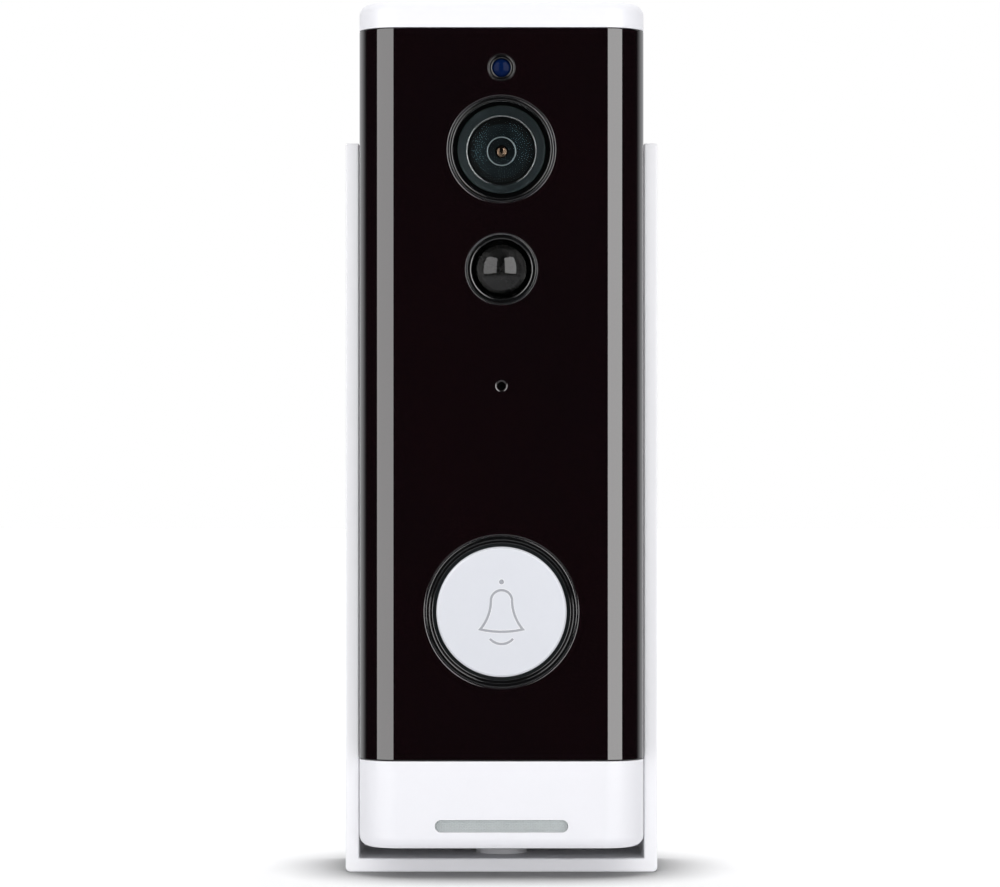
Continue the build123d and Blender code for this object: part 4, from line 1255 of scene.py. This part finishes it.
finish("inner_lens_glass", (0.010, 0.004, 0.002), (0.006, 0.003, 0.002), 0.03, 0.02, 0.3, 2.0, 0.0002,
       IOR=2.0, Specular_Tint=(1.0, 0.62, 0.42, 1), **untouched)
finish("stop_metal", (0.36, 0.37, 0.38), (0.30, 0.31, 0.32), 0.42, 0.06, 0.3, 6.0, 0.002,
       dusty=0.0, metallic=1.0)
finish("rubber_black", (0.020, 0.020, 0.021), (0.013, 0.013, 0.014), 0.62, 0.1, 0.25, 8.0, 0.01)
finish("rubber_white", (0.78, 0.78, 0.80), (0.73, 0.73, 0.75), 0.62, 0.08, 0.2, 8.0, 0.008)
finish("mark_grey", (0.34, 0.35, 0.38), (0.31, 0.32, 0.35), 0.5, 0.08, 0.2, 4.0, 0.004)
finish("switch_black", (0.02, 0.02, 0.022), (0.013, 0.013, 0.015), 0.45, 0.1, 0.3, 4.0, 0.008)
finish("reset_grey", (0.33, 0.34, 0.36), (0.29, 0.30, 0.32), 0.5, 0.08, 0.2, 4.0, 0.006)
finish("chip_black", (0.016, 0.016, 0.018), (0.024, 0.024, 0.026), 0.55, 0.1, 0.12, 3.0, 0.01)
finish("sensor_metal", (0.62, 0.62, 0.60), (0.52, 0.52, 0.50), 0.26, 0.12, 0.3, 5.0, 0.004, metallic=1.0)
finish("antenna_gold", (0.80, 0.56, 0.24), (0.70, 0.48, 0.20), 0.25, 0.1, 0.3, 5.0, 0.003, metallic=1.0)
finish("lead_red", (0.42, 0.02, 0.015), (0.34, 0.015, 0.012), 0.42, 0.08, 0.3, 4.0, 0.005)
finish("screw_steel", (0.56, 0.56, 0.57), (0.46, 0.46, 0.48), 0.3, 0.14, 0.25, 4.0, 0.006, metallic=1.0)
finish("washer_nylon", (0.74, 0.74, 0.70), (0.68, 0.68, 0.63), 0.45, 0.08, 0.3, 4.0, 0.006)
finish("insert_brass", (0.72, 0.52, 0.22), (0.60, 0.42, 0.17), 0.3, 0.12, 0.3, 4.0, 0.006, metallic=1.0)
finish("grille_grey", (0.66, 0.70, 0.70), (0.60, 0.64, 0.64), 0.5, 0.1, 0.2, 4.0, 0.004)
finish("circuit_green", (0.012, 0.075, 0.035), (0.010, 0.060, 0.028), 0.35, 0.1, 0.2, 5.0, 0.004)
finish("ribbon_amber", (0.36, 0.15, 0.02), (0.30, 0.12, 0.016), 0.35, 0.08, 0.2, 5.0, 0.003)
finish("cell_wrap", (0.035, 0.12, 0.33), (0.030, 0.10, 0.28), 0.28, 0.08, 0.4, 12.0, 0.003)
# Bell button: its edge band is turned up to near white, a painted highlight round the rim.
finish("button_silver", (0.675, 0.69, 0.735), (0.645, 0.66, 0.705), 0.36, 0.06, 0.12, 9.0, 0.006,
       worn=(0.97, 0.97, 0.98), wear_amount=1.7, metallic=0.2)
finish("sensor_lens", (0.001, 0.009, 0.050), (0.001, 0.006, 0.036), 0.10, 0.04, 0.3, 2.0, 0.002,
       Specular_IOR_Level=0.06, **untouched)
finish("led_clear", (0.62, 0.60, 0.45), (0.56, 0.54, 0.40), 0.12, 0.05, 0.4, 2.0, 0.002)
print(len(finishes), "finishes")

# %% [markdown]
# ## Glass and clear plastic
#
# Clear pieces get a plain transmitting shader with a soft variation in gloss, like a finger
# smear. Lamps are let straight through by a transparent shader for shadow rays, so the parts
# behind the glass are lit. The front lens is coated, so its reflection is faint and bluish.

# %% Clear finishes
def clear_finish(name, tint, smear, roughness, **shader):
    """Glass or clear plastic whose tint and gloss drift a little."""
    material = bpy.data.materials.new(name)
    material.use_nodes = True
    tree = material.node_tree
    surface = tree.nodes["Principled BSDF"]
    grain_node = grouped(tree, grain, Colour=rgba(tint), Drift_colour=rgba(smear), Grain_size=0.6 * mm,
                         Drift_size=4.0 * mm, Roughness=roughness, Roughness_spread=roughness * 0.8)
    bump = node(tree, "ShaderNodeBump", Strength=1.0, Distance=0.0003 * mm)
    join(
        tree,
        (grain_node.outputs["Colour"], surface.inputs["Base Color"]),
        (grain_node.outputs["Roughness"], surface.inputs["Roughness"]),
        (grain_node.outputs["Height"], bump.inputs["Height"]),
        (bump.outputs["Normal"], surface.inputs["Normal"]),
    )
    surface.inputs["Transmission Weight"].default_value = 1.0
    for key, value in shader.items():
        surface.inputs[key.replace("_", " ")].default_value = value
    ray = tree.nodes.new("ShaderNodeLightPath")
    through = node(tree, "ShaderNodeBsdfTransparent", Color=rgba(tint))
    choice = tree.nodes.new("ShaderNodeMixShader")
    join(
        tree,
        (ray.outputs["Is Shadow Ray"], choice.inputs[0]),
        (surface.outputs[0], choice.inputs[1]),
        (through.outputs[0], choice.inputs[2]),
        (choice.outputs[0], tree.nodes["Material Output"].inputs["Surface"]),
    )
    finishes[name] = material


clear_finish("window_glass", (0.93, 0.96, 0.96), (0.91, 0.95, 0.95), 0.015, IOR=1.48)
clear_finish("lens_glass", (0.90, 0.93, 0.93), (0.87, 0.92, 0.94), 0.01, IOR=1.55,
             Specular_Tint=(0.035, 0.06, 0.07, 1))
clear_finish("smoked_dome", (0.10, 0.10, 0.10), (0.08, 0.08, 0.08), 0.06, IOR=1.5)
print([name for name in finishes if "lens" in name or "glass" in name or "dome" in name])

# %% [markdown]
# The pale floor is matt card with a faint tooth, lit so that it goes to paper white. Close to
# the object its colour, as the camera sees it, is darkened by how much of the sky is hidden
# there: a painted shadow where the two meet.

# %% Floor finish
card_tree, card_surface = finish("floor_card", (0.90, 0.90, 0.90), (0.88, 0.88, 0.885), 0.8, 0.05, 1.5, 300.0,
                                 0.02, **untouched)
# Painted shadow: an occlusion node darkens the card's colour near the object, for camera rays only.
shadow_painting_occlusion = card_tree.nodes.new("ShaderNodeAmbientOcclusion")
shadow_painting_occlusion.inputs["Distance"].default_value = 14 * mm
shadow_painting_occlusion.samples = 16
seen = card_tree.nodes.new("ShaderNodeLightPath")
shade = node(card_tree, "ShaderNodeMapRange", From_Min=0.45, From_Max=1.0, To_Min=0.26, To_Max=1.0)
card_colour = card_surface.inputs["Base Color"].links[0].from_socket
shadow_painted_colour = mixed(card_tree, 1.0, card_colour, shade.outputs[0], "MULTIPLY")
join(
    card_tree,
    (shadow_painting_occlusion.outputs["AO"], shade.inputs["Value"]),
    (mixed(card_tree, seen.outputs["Is Camera Ray"], card_colour, shadow_painted_colour), card_surface.inputs["Base Color"]),
)
floor.data.materials.append(finishes["floor_card"])

# %% [markdown]
# ## Putting it together
#
# Each new piece gets its finish, rides on the body that carries it and stands for the
# engineering node that it replaces. Everything that keeps its engineering shape, such as
# boards, cells and chips inside, gets a finish too.

# %% Fit the new pieces
slot_of = {part["node"]: part["material_slot"] for part in frame["record"]["subparts"]}
body_of = {name: part.parent.name.split(":")[1] for name, part in frame["nodes"].items()}
flat_faced = (front_shell, panel, rear_shell, cradle, bell_disc, flap, port_tab)


def fit(piece, cad_node, finish_name=None):
    """Shades a piece, gives it its finish, and lets it stand for an engineering node."""
    take(piece)
    bpy.ops.object.shade_smooth_by_angle(angle=math.radians(35))
    if piece in flat_faced:
        modify(piece, "WEIGHTED_NORMAL", keep_sharp=True, weight=100, mode="FACE_AREA")
    piece.data.materials.clear()
    piece.data.materials.append(finishes[finish_name or slot_of[cad_node]])
    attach(piece, body_of[cad_node])
    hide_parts(cad_node)


for piece, cad_node, *finish_name in (
    (front_shell, "front_housing"),
    (panel, "front_panel"),
    (rear_shell, "rear_cover"),
    (cradle, "wall_cradle"),
    (camera_trim, "camera_bezel"),
    (camera_cone, "lens_hood"),
    (camera_glass, "camera_window"),
    (light_trim, "light_sensor_bezel"),
    (light_pipe, "light_sensor_lens"),
    (motion_trim, "pir_bezel"),
    (motion_dome, "pir_lens"),
    (sound_boot, "mic_gasket"),
    (bell_disc, "button_cap"),
    (bell_lines, "bell_mark"),
    (bell_carrier, "button_carrier"),
    (bell_ring, "light_ring"),
    (sound_weave, "speaker_mesh"),
    (screw_caps, "screw_plugs"),
    (flap, "port_cover"),
    (port_tab, "port_cover_tab"),
    (reset_key, "reset_button"),
    (lock_screw, "security_screw"),
    (lock_washer, "security_washer"),
    (sound_cloth, "speaker_mesh", "grille_grey"),
    (lens_barrel, "lens_barrel", "barrel_gloss"),
    (camera_stop, "lens_iris", "iris_black"),
    (stop_edge, "lens_iris", "stop_metal"),
    (front_lens, "front_lens", "lens_glass"),
    (inner_lens, "inner_lens", "inner_lens_glass"),
):
    fit(piece, cad_node, *finish_name)
print("flat faces kept flat on", [piece.name for piece in flat_faced])

# %% [markdown]
# The front lens is painted black on its ground edge and on the rim of its back, as a real
# one is, so that no light leaks in from the side.

# %% Edge paint and the engineering nodes
front_lens.data.materials.append(finishes["edge_paint"])
lens_axis = Vector((0, 0, camera_z))
edge_radius, back_rim, back_depth = 5.27, 4.6, 4.3
for face in front_lens.data.polygons:
    off_axis = face.center / mm - lens_axis
    rim = math.hypot(off_axis.x, off_axis.z)
    if rim > edge_radius or (rim > back_rim and off_axis.y > front + back_depth):
        face.material_index = 1
shown = [n for n, o in frame["nodes"].items() if not o.hide_render]
for name in shown:
    cad_piece = frame["nodes"][name]
    cad_piece.data.materials.clear()
    cad_piece.data.materials.append(finishes[slot_of[name]])
